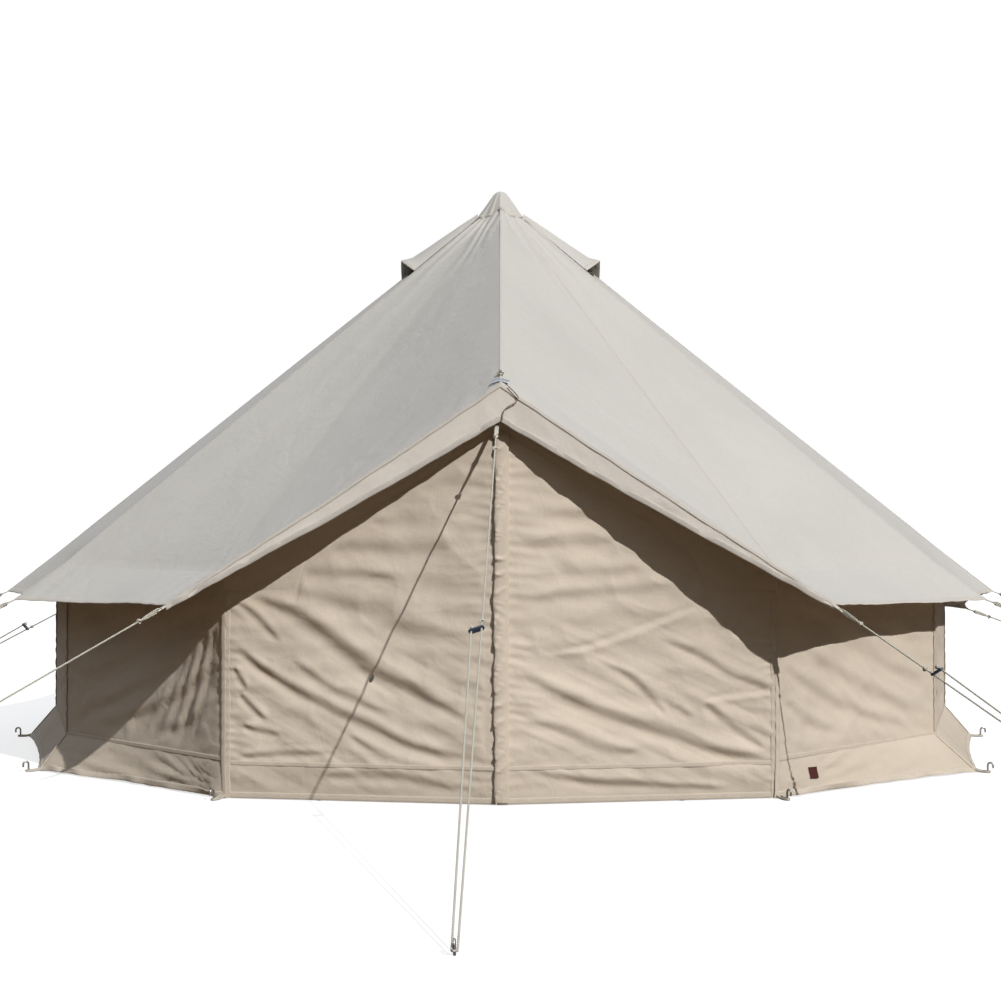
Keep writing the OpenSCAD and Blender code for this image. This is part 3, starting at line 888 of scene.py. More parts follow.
@dataclass(frozen=True)
class GuyLine:
    """The route of one guy: standing part, turn round the peg, and return part."""

    k: int
    plan: Plan = PLAN
    loop_z: float = 0.012

    @property
    def swap(self) -> float:
        """The side of the peg on which the standing part arrives."""
        return 1.0 if self.k == 0 else -1.0

    @property
    def side(self) -> Array:
        """Level and square to the guy."""
        return np.cross(vec(0, 0, 1), self.plan.guy_dir(self.k)) * self.swap

    @property
    def wrap(self) -> float:
        """Radius of the rope's turn round the peg."""
        return self.plan.peg_r + self.plan.rope_r + 0.0006

    @property
    def peg_in(self) -> Array:
        """Where the standing part meets the peg."""
        return self.plan.peg(self.k) + self.side * self.wrap + vec(0, 0, self.loop_z)

    @property
    def peg_out(self) -> Array:
        """Where the return part leaves the peg."""
        return self.plan.peg(self.k) - self.side * self.wrap + vec(0, 0, self.loop_z)

    @property
    def u(self) -> Array:
        """Down the guy."""
        return unit(self.peg_in - self.plan.guy_top(self.k))

    @property
    def start(self) -> Array:
        """The end of the eave tab."""
        return self.plan.guy_top(self.k) + self.u * self.plan.tab_l

    @property
    def bar(self) -> Array:
        """Along the runner."""
        raw = -self.side * self.swap if self.k == 0 else vec(0, 0, 1)
        s = unit(raw - self.u * np.dot(raw, self.u))
        t = math.radians(self.plan.tilt)
        return s * math.cos(t) + self.u * math.sin(t)

    @property
    def hole_a(self) -> Array:
        """The runner's lower hole."""
        return self.plan.guy_top(self.k) + self.u * self.plan.runner_at[self.k]

    @property
    def hole_b(self) -> Array:
        """The runner's upper hole."""
        return self.hole_a + self.bar * self.plan.runner_l * 0.56

    @property
    def end(self) -> Array:
        """The rope's end above the runner."""
        d = unit(self.hole_b - self.peg_out)
        return self.hole_b + d * (self.plan.runner_t * 1.2 + 0.003)

    def standing(self) -> Array:
        """The standing part and the turn round the peg."""
        c = self.plan.peg(self.k) + vec(0, 0, self.loop_z)
        d = self.plan.guy_dir(self.k)
        arc = [c + self.side * math.cos(a) * self.wrap + d * math.sin(a) * self.wrap
               for a in np.radians(np.arange(15, 180, 15))]
        straight = spread([self.start, self.peg_in], 0.05)
        return np.concatenate([straight, arc, [self.peg_out]])

    def returning(self) -> Array:
        """The return part, up to the runner."""
        return spread([self.peg_out, self.end], 0.05)


# --- camera and ropes ---------------------------------------------------------------------


@dataclass
class Viewpoint:
    """The camera in front of the door."""

    place: tuple[float, float, float] = (0.0, -8.58, 1.104)
    focal: float = 69.58
    pitch: float = 0.37

    def make(self) -> None:
        """Adds the camera and makes it the scene's own."""
        data = bpy.data.cameras.new("camera")
        data.lens = self.focal
        data.sensor_width = 36.0
        data.clip_end = 200.0
        cam = bpy.data.objects.new("camera", data)
        cam.location = self.place
        cam.rotation_euler = (math.radians(90.0 - self.pitch), 0.0, 0.0)
        bpy.context.scene.collection.objects.link(cam)
        bpy.context.scene.camera = cam


def knot_path(centre: Array, axis: Array, size: float) -> Array:
    """An overhand knot, as a closed curve round an axis."""
    z = unit(axis)
    x = unit(np.cross(vec(0, 0, 1) if abs(z[2]) < 0.9 else vec(0, 1, 0), z))
    y = np.cross(z, x)
    t = np.linspace(0, 2 * math.pi, 40)
    a = (np.sin(t) + 2 * np.sin(2 * t)) / 3
    b = (np.cos(t) - 2 * np.cos(2 * t)) / 3
    c = -np.sin(3 * t) * 0.55
    return centre + np.outer(a, x) * size + np.outer(b, y) * size + np.outer(c, z) * size


@dataclass
class GuyRopes:
    """Twelve guys, each with a standing part, a return part, knots and a runner."""

    palette: Palette
    plan: Plan = PLAN

    def make(self) -> None:
        """Builds every guy."""
        for k in range(self.plan.sides):
            self.make_one(GuyLine(k))
        log.info("guy ropes: %d", self.plan.sides)

    def make_one(self, line: GuyLine) -> None:
        """Builds one guy.

        Args:
            line: the guy's route.
        """
        k, r = line.k, self.plan.rope_r
        body = f"guy_runner_{k + 1}"
        main = line.standing()
        rope = tube_mesh(f"guy_standing_{k + 1}", [main], r)
        dress(rope, self.palette.rope, Body.TENT)
        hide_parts(f"guy_rope_{k + 1}")
        tuple(line.start)
        back = line.returning()
        tail = tube_mesh(f"guy_return_{k + 1}", [back], r)
        tail.data.materials.append(self.palette.rope)
        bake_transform(tail)
        stop = line.end + unit(line.end - line.peg_out) * 0.004
        knot = tube_mesh(f"guy_end_knot_{k + 1}", [knot_path(stop, line.u, 0.0062)], r * 0.92)
        dress(knot, self.palette.rope, body)
        tuple(line.peg_out)
        upper = tube_mesh(f"guy_tie_knot_{k + 1}",
                          [knot_path(line.start + line.u * 0.075, line.u, 0.0075)], r)
        dress(upper, self.palette.rope, Body.TENT)
        above = line.hole_a - line.u * 0.034
        stopper = tube_mesh(f"guy_stopper_{k + 1}", [knot_path(above, line.u, 0.0066)], r)
        dress(stopper, self.palette.rope, body)
        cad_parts[body].data.materials.clear()
        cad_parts[body].data.materials.append(self.palette.runner)


# --- canvas -------------------------------------------------------------------------------


@dataclass
class Roof:
    """The cone of canvas from the apex to the eaves, as one curved sheet."""

    palette: Palette
    plan: Plan = PLAN
    across: int = 40
    rows_up: int = 62
    rows_eave: int = 16
    knee_share: float = 0.91
    gather_h: float = 0.0125
    grid: Grid = field(init=False)

    @property
    def share_down(self) -> Array:
        """How far down the roof each row lies, from 0 at the apex to 1 at the eave."""
        upper = np.linspace(0, self.knee_share, self.rows_up + 1)[:-1]
        return np.concatenate([upper, np.linspace(self.knee_share, 1, self.rows_eave + 1)])

    @property
    def share_across(self) -> Array:
        """Where the columns of one gore lie, close together near the ridges."""
        t = np.arange(self.across) / self.across
        return 0.35 * t + 0.65 * (0.5 - 0.5 * np.cos(math.pi * t))

    def ridge(self, k: int) -> Array:
        """Points down corner line k, from the apex to the eave."""
        p = self.plan
        if k % p.sides == 0:
            return np.array([mix(p.top(k), p.tip(k), t) for t in self.share_down])
        upper = [mix(p.top(k), p.knee(k), i / self.rows_up) for i in range(self.rows_up)]
        lower = [mix(p.knee(k), p.tip(k), i / self.rows_eave)
                 for i in range(self.rows_eave + 1)]
        return np.array(upper + lower)

    def shape(self) -> Grid:
        """The sheet's points, with sag between the ridges and soft folds."""
        p, slant = self.plan, 2.75
        flat = self.flat()
        pts, turn = flat.pts, flat.uv[..., 0]
        share = np.repeat(self.share_down[:, None], pts.shape[1], 1)
        s = turn % 1.0
        gore = np.floor(turn) % p.sides
        front = (gore == 0) | (gore == p.sides - 1)
        bow = 4 * s * (1 - s)
        sag = bow * share**1.3 * np.where(front, 0.006, 0.016)
        noise = Noise(11)
        edge = smooth(share, 0.80, 1.0)
        corner = np.minimum(s, 1 - s)
        fan = fold(corner * 13 / (0.25 + share) + noise.at(turn * 2, share * 5) * 0.35, 1.3)
        pull = np.exp(-corner * 5.0) * edge * 0.009 * bow**0.5
        ripple = noise.fractal(turn * 3.1, share * 7.0, 3) * 0.0035 * bow**0.4 * share
        long_fold = fold(turn * 2.0 + noise.at(turn * 1.3, share * 2.4) * 0.9, 1.2)
        ripple = ripple + long_fold * 0.0030 * bow * share
        gather = fold(turn * 2.2 + noise.at(turn * 1.7, share * 7) * 0.6, 1.4)
        ripple = ripple + gather * self.gather_h * smooth(share, 0.01, 0.05) * np.exp(-share * 8)
        diagonal = fold((s * 1.1 + share * 3.2) * 4 + noise.at(turn * 2, share * 6) * 0.5, 1.3)
        ripple = ripple + diagonal * 0.0026 * bow * smooth(share, 0.55, 0.95) * front
        ripple = ripple + self.burst(pts)
        level = unit(pts * vec(1, 1, 0))
        push = unit(level * 0.6 + vec(0, 0, 0.75))
        curve = bow * np.where(front, 0.0, 1.0) * smooth(share, 0.84, 1.0) * 0.058
        bent = pts - push * (sag - ripple - fan * pull)[..., None]
        bent = bent - level * curve[..., None] + vec(0, 0, 1) * (curve * 0.12)[..., None]
        bent[:, -1] = bent[:, 0]
        uv = np.stack([turn * (1.02 * share + 0.05), share * slant], -1)
        return Grid(bent, uv)

    def flat(self) -> Grid:
        """The gores as they are cut, pulled flat between the ridges."""
        cols, turns = [], []
        for k in range(self.plan.sides):
            a, b = self.ridge(k), self.ridge(k + 1)
            cols += [mix(a, b, t) for t in self.share_across]
            turns += [k + t for t in self.share_across]
        cols.append(cols[0])
        turns.append(float(self.plan.sides))
        pts = np.stack(cols, 1)
        turn = np.repeat(np.array(turns)[None], len(pts), 0)
        return Grid(pts, np.stack([turn, turn * 0], -1))

    def height_at(self, azimuth: Array, r: float | Array) -> Array:
        """The finished sheet's height.

        Args:
            azimuth: directions from the door, in degrees.
            r: one radius, or one for each direction.

        Returns:
            The heights.
        """
        pts = self.grid.pts[:, :-1]
        around = np.degrees(np.arctan2(pts[20, :, 0], -pts[20, :, 1])) % 360
        order = np.argsort(around)
        radius = np.hypot(pts[..., 0], pts[..., 1])
        out = []
        for a, q in zip(np.atleast_1d(azimuth), np.broadcast_to(r, np.shape(azimuth))):
            i = int(np.argmin(np.abs((around - a + 180) % 360 - 180)))
            pair = [i, int(order[(int(np.where(order == i)[0][0]) + 1) % len(order)])]
            out.append(float(np.mean([np.interp(q, radius[:, c], pts[:, c, 2]) for c in pair])))
        return np.array(out)

    def burst(self, pts: Array) -> Array:
        """Small tucks that run out from the spike at the front tip."""
        dx, dy = pts[..., 0], pts[..., 1] + self.plan.door_y - 0.015
        away = np.hypot(dx, dy * 0.9)
        ray = np.arctan2(dx, dy)
        tuck = fold(ray * 14 / (2 * math.pi), 1.2) * 0.0045
        lift = np.exp(-away / 0.05) * 0.006
        return tuck * smooth(away, 0.006, 0.03) * np.exp(-away / 0.075) + lift

    def make(self) -> None:
        """Builds the sheet, its ridge seams and its eave hem."""
        self.grid = self.shape()
        roof = grid_mesh("roof_canvas", [self.grid], closed=True)
        dress(roof, self.palette.roof, Body.TENT)
        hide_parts(*[f"roof_panel_{i}" for i in range(1, 7)])
        p = self.plan
        area = self.flat().area()
        gore = float(np.linalg.norm(p.tip(6) - p.tip(7)))
        slant = float(np.linalg.norm(p.tip(1) - p.top(1)))
        seams = []
        for k in range(self.plan.sides):
            j = k * self.across
            seams.append(self.strip(j, 0.015))
        seam = grid_mesh("roof_ridge_seams", seams)
        dress(seam, self.palette.seam_roof, Body.TENT)
        edge = self.grid.pts[-1, self.across - 1: (self.plan.sides - 1) * self.across + 2]
        inner = self.grid.pts[-2, self.across - 1: (self.plan.sides - 1) * self.across + 2]
        hem = grid_mesh("eave_hem", [ribbon_grid(edge + unit(inner - edge) * 0.010,
                                                 unit(inner - edge), 0.024, 0.0034)])
        dress(hem, self.palette.seam_roof, Body.TENT)
        log.info("roof: %.2f square metres", area)

    def strip(self, j: int, width: float) -> Grid:
        """A seam allowance sewn down over one ridge."""
        p = self.grid.pts
        n = p.shape[1] - 1
        mid = p[:, j]
        sides = [unit(p[:, (j + d) % n] - mid) for d in (-2, 2)]
        up = unit(np.cross(unit(sides[1] - sides[0]), np.gradient(mid, axis=0)))
        up = up * np.sign(up[:, 2:3])
        offs = np.array([-width / 2, -width / 4, 0, width / 4, width / 2])
        rise = np.array([0.0004, 0.0012, 0.0014, 0.0012, 0.0004])
        pts = np.stack([mid + sides[int(o > 0)] * abs(o) + up * h for o, h in zip(offs, rise)], 1)
        run = np.concatenate([[0], np.cumsum(np.linalg.norm(np.diff(mid, axis=0), axis=1))])
        return Grid(pts, np.stack(np.meshgrid(run, offs, indexing="ij"), -1))


@dataclass
class Valance:
    """The band that hangs from the roof's front edge over the door."""

    palette: Palette
    roof: Roof
    plan: Plan = PLAN
    rows: int = 8

    def make(self) -> None:
        """Builds both halves as one sheet, with a hem."""
        n, p = self.roof.across, self.plan
        last = self.roof.grid.pts[-1]
        path = np.concatenate([last[(p.sides - 1) * n: -1], last[: n + 1]])
        tip_z = p.tip(1)[2]
        share = np.abs(path[:, 0]) / abs(p.tip(1)[0])
        drop = mix(p.valance_h, 0.017, np.clip(share, 0, 1))
        noise = Noise(23)
        grids = []
        down = np.linspace(0, 1, self.rows + 1)
        x, v = np.meshgrid(path[:, 0], down)
        depth = v * drop[None, :]
        wave = fold(x * 7.5 + v * 0.5 + noise.at(x * 6, v * 1.5) * 0.7, 1.2) * 0.008
        wave = wave + fold(x * 19 + noise.at(x * 9, v * 2) * 0.9, 1.2) * 0.0025
        pts = np.repeat(path[None], self.rows + 1, 0).copy()
        pts[..., 2] -= depth
        tuck = fold((x - v * 0.03) / 0.026, 1.4) * np.exp(-(((x + 0.055) / 0.045) ** 2)) * 0.008
        forward = 0.004 + v * 0.004 + wave * v * smooth(np.abs(x), 0.0, 0.12) + tuck * v
        pts[..., 1] -= forward
        grids.append(Grid(pts, np.stack([x, depth], -1)))
        cloth = grid_mesh("front_valance", grids)
        dress(cloth, self.palette.valance, Body.TENT)
        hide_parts("door_valance")
        long = 2 * float(np.linalg.norm(p.tip(1) - p.tip(0)))
        hem_path = pts[-1] + vec(0, 0, 0.010)
        hem = grid_mesh("valance_hem", [ribbon_grid(hem_path, vec(0, 0, 1), 0.022, 0.0034)])
        dress(hem, self.palette.seam_roof, Body.TENT)
        fold_path = pts[0] + vec(0, -0.0005, 0)
        edge = grid_mesh("front_edge_seam",
                         [ribbon_grid(fold_path, vec(0, 0.35, 1), 0.016, 0.003)])
        dress(edge, self.palette.seam_roof, Body.TENT)
        log.info("valance: tip height %.3f", tip_z)


FRONT_WALL = (
    Crease(((0.02, 0.62), (0.25, 0.50), (0.55, 0.36), (0.93, 0.22)), 0.022, 0.0070),
    Crease(((0.02, 0.50), (0.22, 0.38), (0.50, 0.27), (0.85, 0.18)), 0.018, 0.0055),
    Crease(((0.05, 0.70), (0.35, 0.62), (0.65, 0.47), (0.96, 0.33)), 0.028, 0.0060),
    Crease(((0.03, 0.36), (0.20, 0.26), (0.40, 0.20)), 0.015, 0.0045),
    Crease(((0.50, 0.66), (0.72, 0.58), (0.96, 0.50)), 0.024, 0.0040),
    Crease(((0.30, 0.44), (0.45, 0.31), (0.62, 0.22)), 0.012, 0.0035),
)


STEEP_FOLDS = (
    Crease(((0.06, 0.66), (0.12, 0.40), (0.20, 0.17)), 0.012, 0.0060),
    Crease(((0.12, 0.62), (0.20, 0.38), (0.29, 0.16)), 0.013, 0.0065),
    Crease(((0.20, 0.52), (0.28, 0.34), (0.38, 0.17)), 0.011, 0.0050),
    Crease(((0.30, 0.42), (0.37, 0.30), (0.48, 0.17)), 0.012, 0.0050),
)


@dataclass
class Wall:
    """The upright wall and the ground band under it, all round but the door."""

    palette: Palette
    plan: Plan = PLAN
    across: int = 60
    rows: int = 56
    rows_band: int = 12
    tag_turn: float = 1.18
    tuck_in: float = 0.042
    tuck_down: float = 0.024

    def folds(self, turn: Array, z: Array, noise: Noise) -> Array:
        """The wall's folds: long creases that fall away from the door, and soft crumples.

        Args:
            turn: corner number of each point.
            z: height of each point.
            noise: the wall's own noise.

        Returns:
            The push outwards at each point.
        """
        total = np.zeros(turn.shape)
        rng = np.random.default_rng(19)
        for k in range(1, self.plan.sides - 1):
            x = turn - k if k < self.plan.sides / 2 else k + 1 - turn
            inside = (turn >= k) & (turn <= k + 1)
            if k == 1:
                rows = FRONT_WALL
            elif k == self.plan.sides - 2:
                rows = FRONT_WALL + STEEP_FOLDS
            else:
                rows = tuple(Crease(tuple((a, h + rng.uniform(-0.05, 0.05)) for a, h in c.line),
                                    c.width * rng.uniform(0.8, 1.3),
                                    c.height * rng.uniform(0.5, 1.1)) for c in FRONT_WALL)
            total += np.where(inside, creased(x, z, rows), 0)
            lean = x * 0.75 + z
            crumple = fold((lean + noise.at(x * 3 + k, z * 4) * 0.10) / 0.085, 1.4) * 0.0024
            crumple += noise.fractal((x - z) * 5 + 3 * k, lean * 15, 3) * 0.0024
            ends = smooth(np.minimum(x, 1 - x), 0.0, 0.04)
            web = crease_web(noise, x + k * 3, z, 0.0075)
            total += np.where(inside, (crumple + web) * ends, 0)
            tug = np.exp(-np.minimum(x, 1 - x) * 14)
            pucker = fold(z / 0.052 + noise.at(x * 5 + k, z * 8) * 1.1, 1.3) * tug * 0.0020
            total += np.where(inside, pucker, 0)
        return total

    def tag(self, band: Grid, turn: Array, level: Array) -> None:
        """Sews the plain woven tag on the band beside the door."""
        lo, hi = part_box("maker_tag")
        j = int(np.argmin(np.abs(turn - self.tag_turn)))
        seam, hem = band.pts[0, j], band.pts[-1, j]
        down = unit(hem - seam)
        side = unit(np.cross(down, level[j])) * -1
        out = np.cross(down, side) * -1
        out = out * np.sign(np.dot(out, level[j]))
        centre = mix(seam, hem, 0.5) + out * 0.0045
        size = 0.021
        rows = []
        for b in np.linspace(-1, 1, 9):
            row = []
            for a in np.linspace(-1, 1, 9):
                curl = 0.0010 * (a * a * 0.5 + b * b) - 0.0008
                row.append(centre + side * a * size + down * (b * size + 0.002 * a) + out * curl)
            rows.append(row)
        flat = np.stack(np.meshgrid(np.linspace(-size, size, 9), np.linspace(-size, size, 9)), -1)
        front = Grid(np.array(rows), flat[..., ::-1])
        tag = grid_mesh("woven_tag", [front])
        dress(tag, self.palette.tag, Body.TENT)
        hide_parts("maker_tag")
        log.info("tag: %.3f wide, node %.3f high", 2 * size, hi.z - lo.z)

    def columns(self) -> tuple[Array, Array]:
        """The corner number of each column, and the whole corner it starts from."""
        turn = np.linspace(1, self.plan.sides - 1, (self.plan.sides - 2) * self.across + 1)
        k = np.minimum(np.floor(turn), self.plan.sides - 2)
        return turn, k

    def ring(self, radius: Callable[[int], float], z: float) -> Array:
        """Points round the tent at one height, straight between the corners."""
        turn, ks = self.columns()
        out = []
        for t, k in zip(turn, ks):
            a = polar(k * self.plan.step, radius(int(k)), z)
            b = polar((k + 1) * self.plan.step, radius(int(k) + 1), z)
            out.append(mix(a, b, t - k))
        return np.array(out)

    def make(self) -> None:
        """Builds the wall, the band, and their seams."""
        p = self.plan
        turn, ks = self.columns()
        s = (turn - ks)[None, :]
        bow = 4 * s * (1 - s)
        level = unit(self.ring(lambda k: 1.0, 0.0))
        noise = Noise(5)
        top = self.ring(lambda k: p.wall_r - 0.004, p.wall_top - 0.004)
        seam = self.ring(lambda k: p.wall_r, p.band_h)
        v = np.linspace(0, 1, self.rows + 1)[:, None]
        pts = top[None] + (seam - top)[None] * v[..., None]
        tuck = (bow * (1 - v) ** 2)[..., None]
        pts = pts - (level[None] * self.tuck_in + vec(0, 0, self.tuck_down)) * tuck
        panel = 2 * p.wall_r * math.sin(math.radians(p.step / 2))
        x = turn[None, :] * panel + v * 0
        height = (1 - v) * (p.wall_top - p.band_h) + p.band_h + turn[None, :] * 0
        push = self.folds(turn[None, :] + v * 0, height, noise)
        calm = smooth(v, 0.0, 0.12) * smooth(1 - v, 0.0, 0.06)
        push = push * calm - bow * 0.010 * np.sin(math.pi * v)
        pts = pts + level[None] * push[..., None]
        wall = Grid(pts, np.stack([x, height], -1))
        hem = self.ring(p.hem_r, 0.0)
        w = np.linspace(0, 1, self.rows_band + 1)[:, None]
        band_pts = seam[None] + (hem - seam)[None] * w[..., None]
        xb = turn[None, :] * 1.05 + w * 0
        slant = (s - 0.5) * w * 2.2
        ahead = 1 - 0.85 * smooth(np.minimum(turn, p.sides - turn), 1.9, 2.2)[None, :]
        curl = fold((xb - slant) * 5.2 + noise.at(xb * 4, w * 2) * 0.8, 1.3) * 0.008 * w * ahead
        curl = curl + fold((xb + slant) * 9 + noise.at(xb * 5, w * 2) * 0.7, 1.3) * 0.002 * w
        curl = curl + noise.fractal(xb * 7, w * 3, 2) * 0.004 * np.sin(math.pi * w)
        for k, way in ((1, 1), (p.sides - 1, -1)):
            far = (turn[None, :] - k) * way * 1.05
            ray = np.arctan2((1 - w) * p.band_h, np.maximum(far, 0.001))
            near = smooth(far, 0.015, 0.08) * (1 - smooth(far, 0.30, 0.65))
            curl = curl + fold(ray * 7.5, 1.4) * 0.008 * near * np.sin(math.pi * w) ** 0.7
        curl = curl * (1 - 0.9 * np.exp(-((turn[None, :] - self.tag_turn) / 0.07) ** 2))
        corner = smooth(np.minimum(s, 1 - s), 0.0, 0.06)
        draw = bow * 0.020 * w
        band_pts = band_pts + level[None] * ((curl - draw) * corner)[..., None]
        lift = (0.004 + 0.004 * np.abs(noise.at(xb * 6, w * 0 + 2.5))) * w
        band_pts[..., 2] += lift * corner + 0.002
        for col, side in ((0, 1), (-1, -1)):
            toward = vec(-np.sign(hem[col, 0]) * 0.012, 0.007, 0.0)
            band_pts[:, col] += toward * w
            band_pts[:, col + side] += toward * w * 0.4
        band = Grid(band_pts, np.stack([xb, w * 0.18 + xb * 0], -1))
        cloth = grid_mesh("wall_canvas", [wall])
        dress(cloth, self.palette.wall, Body.TENT)
        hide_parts(*[f"wall_panel_{i}" for i in range(1, 6)])
        skirt = grid_mesh("ground_band", [band])
        dress(skirt, self.palette.wall, Body.TENT)
        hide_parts("skirt_band")
        cut = Grid(seam[None] + (hem - seam)[None] * w[..., None], band.uv)
        self.seams(wall, band, level)
        self.tag(band, turn, level)

    def seams(self, wall: Grid, band: Grid, level: Array) -> None:
        """Sews the upright seams, the band's seam and the ground hem."""
        strips = []
        for i in range(self.plan.sides - 1):
            j = min(i * self.across, wall.pts.shape[1] - 1)
            path = np.concatenate([wall.pts[:, j], band.pts[1:, j]]) + level[j] * 0.0015
            tangent = unit(np.cross(vec(0, 0, 1), level[j]))
            strips.append(ribbon_grid(path, tangent, 0.019, 0.0028))
        strips.append(ribbon_grid(band.pts[0] + level * 0.0015, vec(0, 0, 1), 0.018, 0.0028))
        down = unit(band.pts[-2] - band.pts[-1])
        hem_path = band.pts[-1] + down * 0.011 + level * 0.001
        strips.append(ribbon_grid(hem_path, down, 0.024, 0.0030))
        seams = grid_mesh("wall_seams", strips)
        dress(seams, self.palette.seam_wall, Body.TENT)


LEFT_FLAP = (
    Crease(((0.05, 0.77), (0.31, 0.64), (0.54, 0.47), (0.74, 0.375), (0.95, 0.27)), 0.026, 0.0115),
    Crease(((0.03, 0.71), (0.10, 0.67), (0.22, 0.55)), 0.012, 0.0045),
    Crease(((0.03, 0.56), (0.14, 0.47), (0.275, 0.39), (0.45, 0.31), (0.70, 0.20), (0.95, 0.15)),
           0.017, 0.0075),
    Crease(((0.04, 0.47), (0.09, 0.39)), 0.010, 0.0050),
    Crease(((0.06, 0.375), (0.16, 0.28)), 0.011, 0.0060),
    Crease(((0.07, 0.26), (0.22, 0.23)), 0.011, 0.0050),
    Crease(((0.05, 0.15), (0.15, 0.16), (0.40, 0.175)), 0.012, 0.0050),
    Crease(((0.12, 0.81), (0.38, 0.81), (0.66, 0.795)), 0.018, 0.0050),
    Crease(((0.20, 0.75), (0.49, 0.69), (0.70, 0.62), (0.90, 0.585)), 0.026, 0.0055),
    Crease(((0.30, 0.915), (0.63, 0.90), (0.95, 0.91)), 0.024, 0.0050),
    Crease(((0.50, 0.985), (0.92, 1.03)), 0.022, 0.0035),
    Crease(((0.34, 0.09), (0.63, 0.097), (0.81, 0.06), (0.95, 0.05)), 0.016, 0.0050),
    Crease(((0.25, 0.50), (0.40, 0.40), (0.62, 0.30)), 0.014, 0.0045),
    Crease(((0.45, 0.24), (0.60, 0.16), (0.78, 0.12)), 0.013, 0.0040),
)

RIGHT_FLAP = (
    Crease(((0.03, 0.14), (0.21, 0.175), (0.385, 0.235), (0.635, 0.32), (0.81, 0.40),
            (0.95, 0.48)),
           0.021, 0.0100),
    Crease(((0.49, 0.18), (0.60, 0.19), (0.78, 0.26), (0.94, 0.305)), 0.017, 0.0055),
    Crease(((0.16, 0.035), (0.46, 0.06), (0.71, 0.083), (0.94, 0.13)), 0.014, 0.0065),
    Crease(((0.58, 0.92), (0.78, 0.91), (0.94, 0.92)), 0.022, 0.0055),
    Crease(((0.49, 0.83), (0.635, 0.81), (0.85, 0.85)), 0.024, 0.0045),
    Crease(((0.35, 0.77), (0.635, 0.745), (0.93, 0.72)), 0.020, 0.0040),
    Crease(((0.28, 0.69), (0.49, 0.61), (0.67, 0.55), (0.84, 0.52)), 0.010, -0.0035),
    Crease(((0.01, 0.39), (0.17, 0.445), (0.28, 0.515), (0.44, 0.58)), 0.014, 0.0045),
    Crease(((0.01, 0.38), (0.21, 0.36), (0.31, 0.34)), 0.009, -0.0030),
    Crease(((0.04, 0.18), (0.15, 0.25), (0.28, 0.36)), 0.013, 0.0045),
    Crease(((0.30, 0.29), (0.46, 0.39), (0.60, 0.49)), 0.015, 0.0040),
    Crease(((0.40, 0.30), (0.52, 0.43), (0.66, 0.50)), 0.011, 0.0030),
    Crease(((0.62, 1.01), (0.92, 1.03)), 0.020, 0.0035),
)


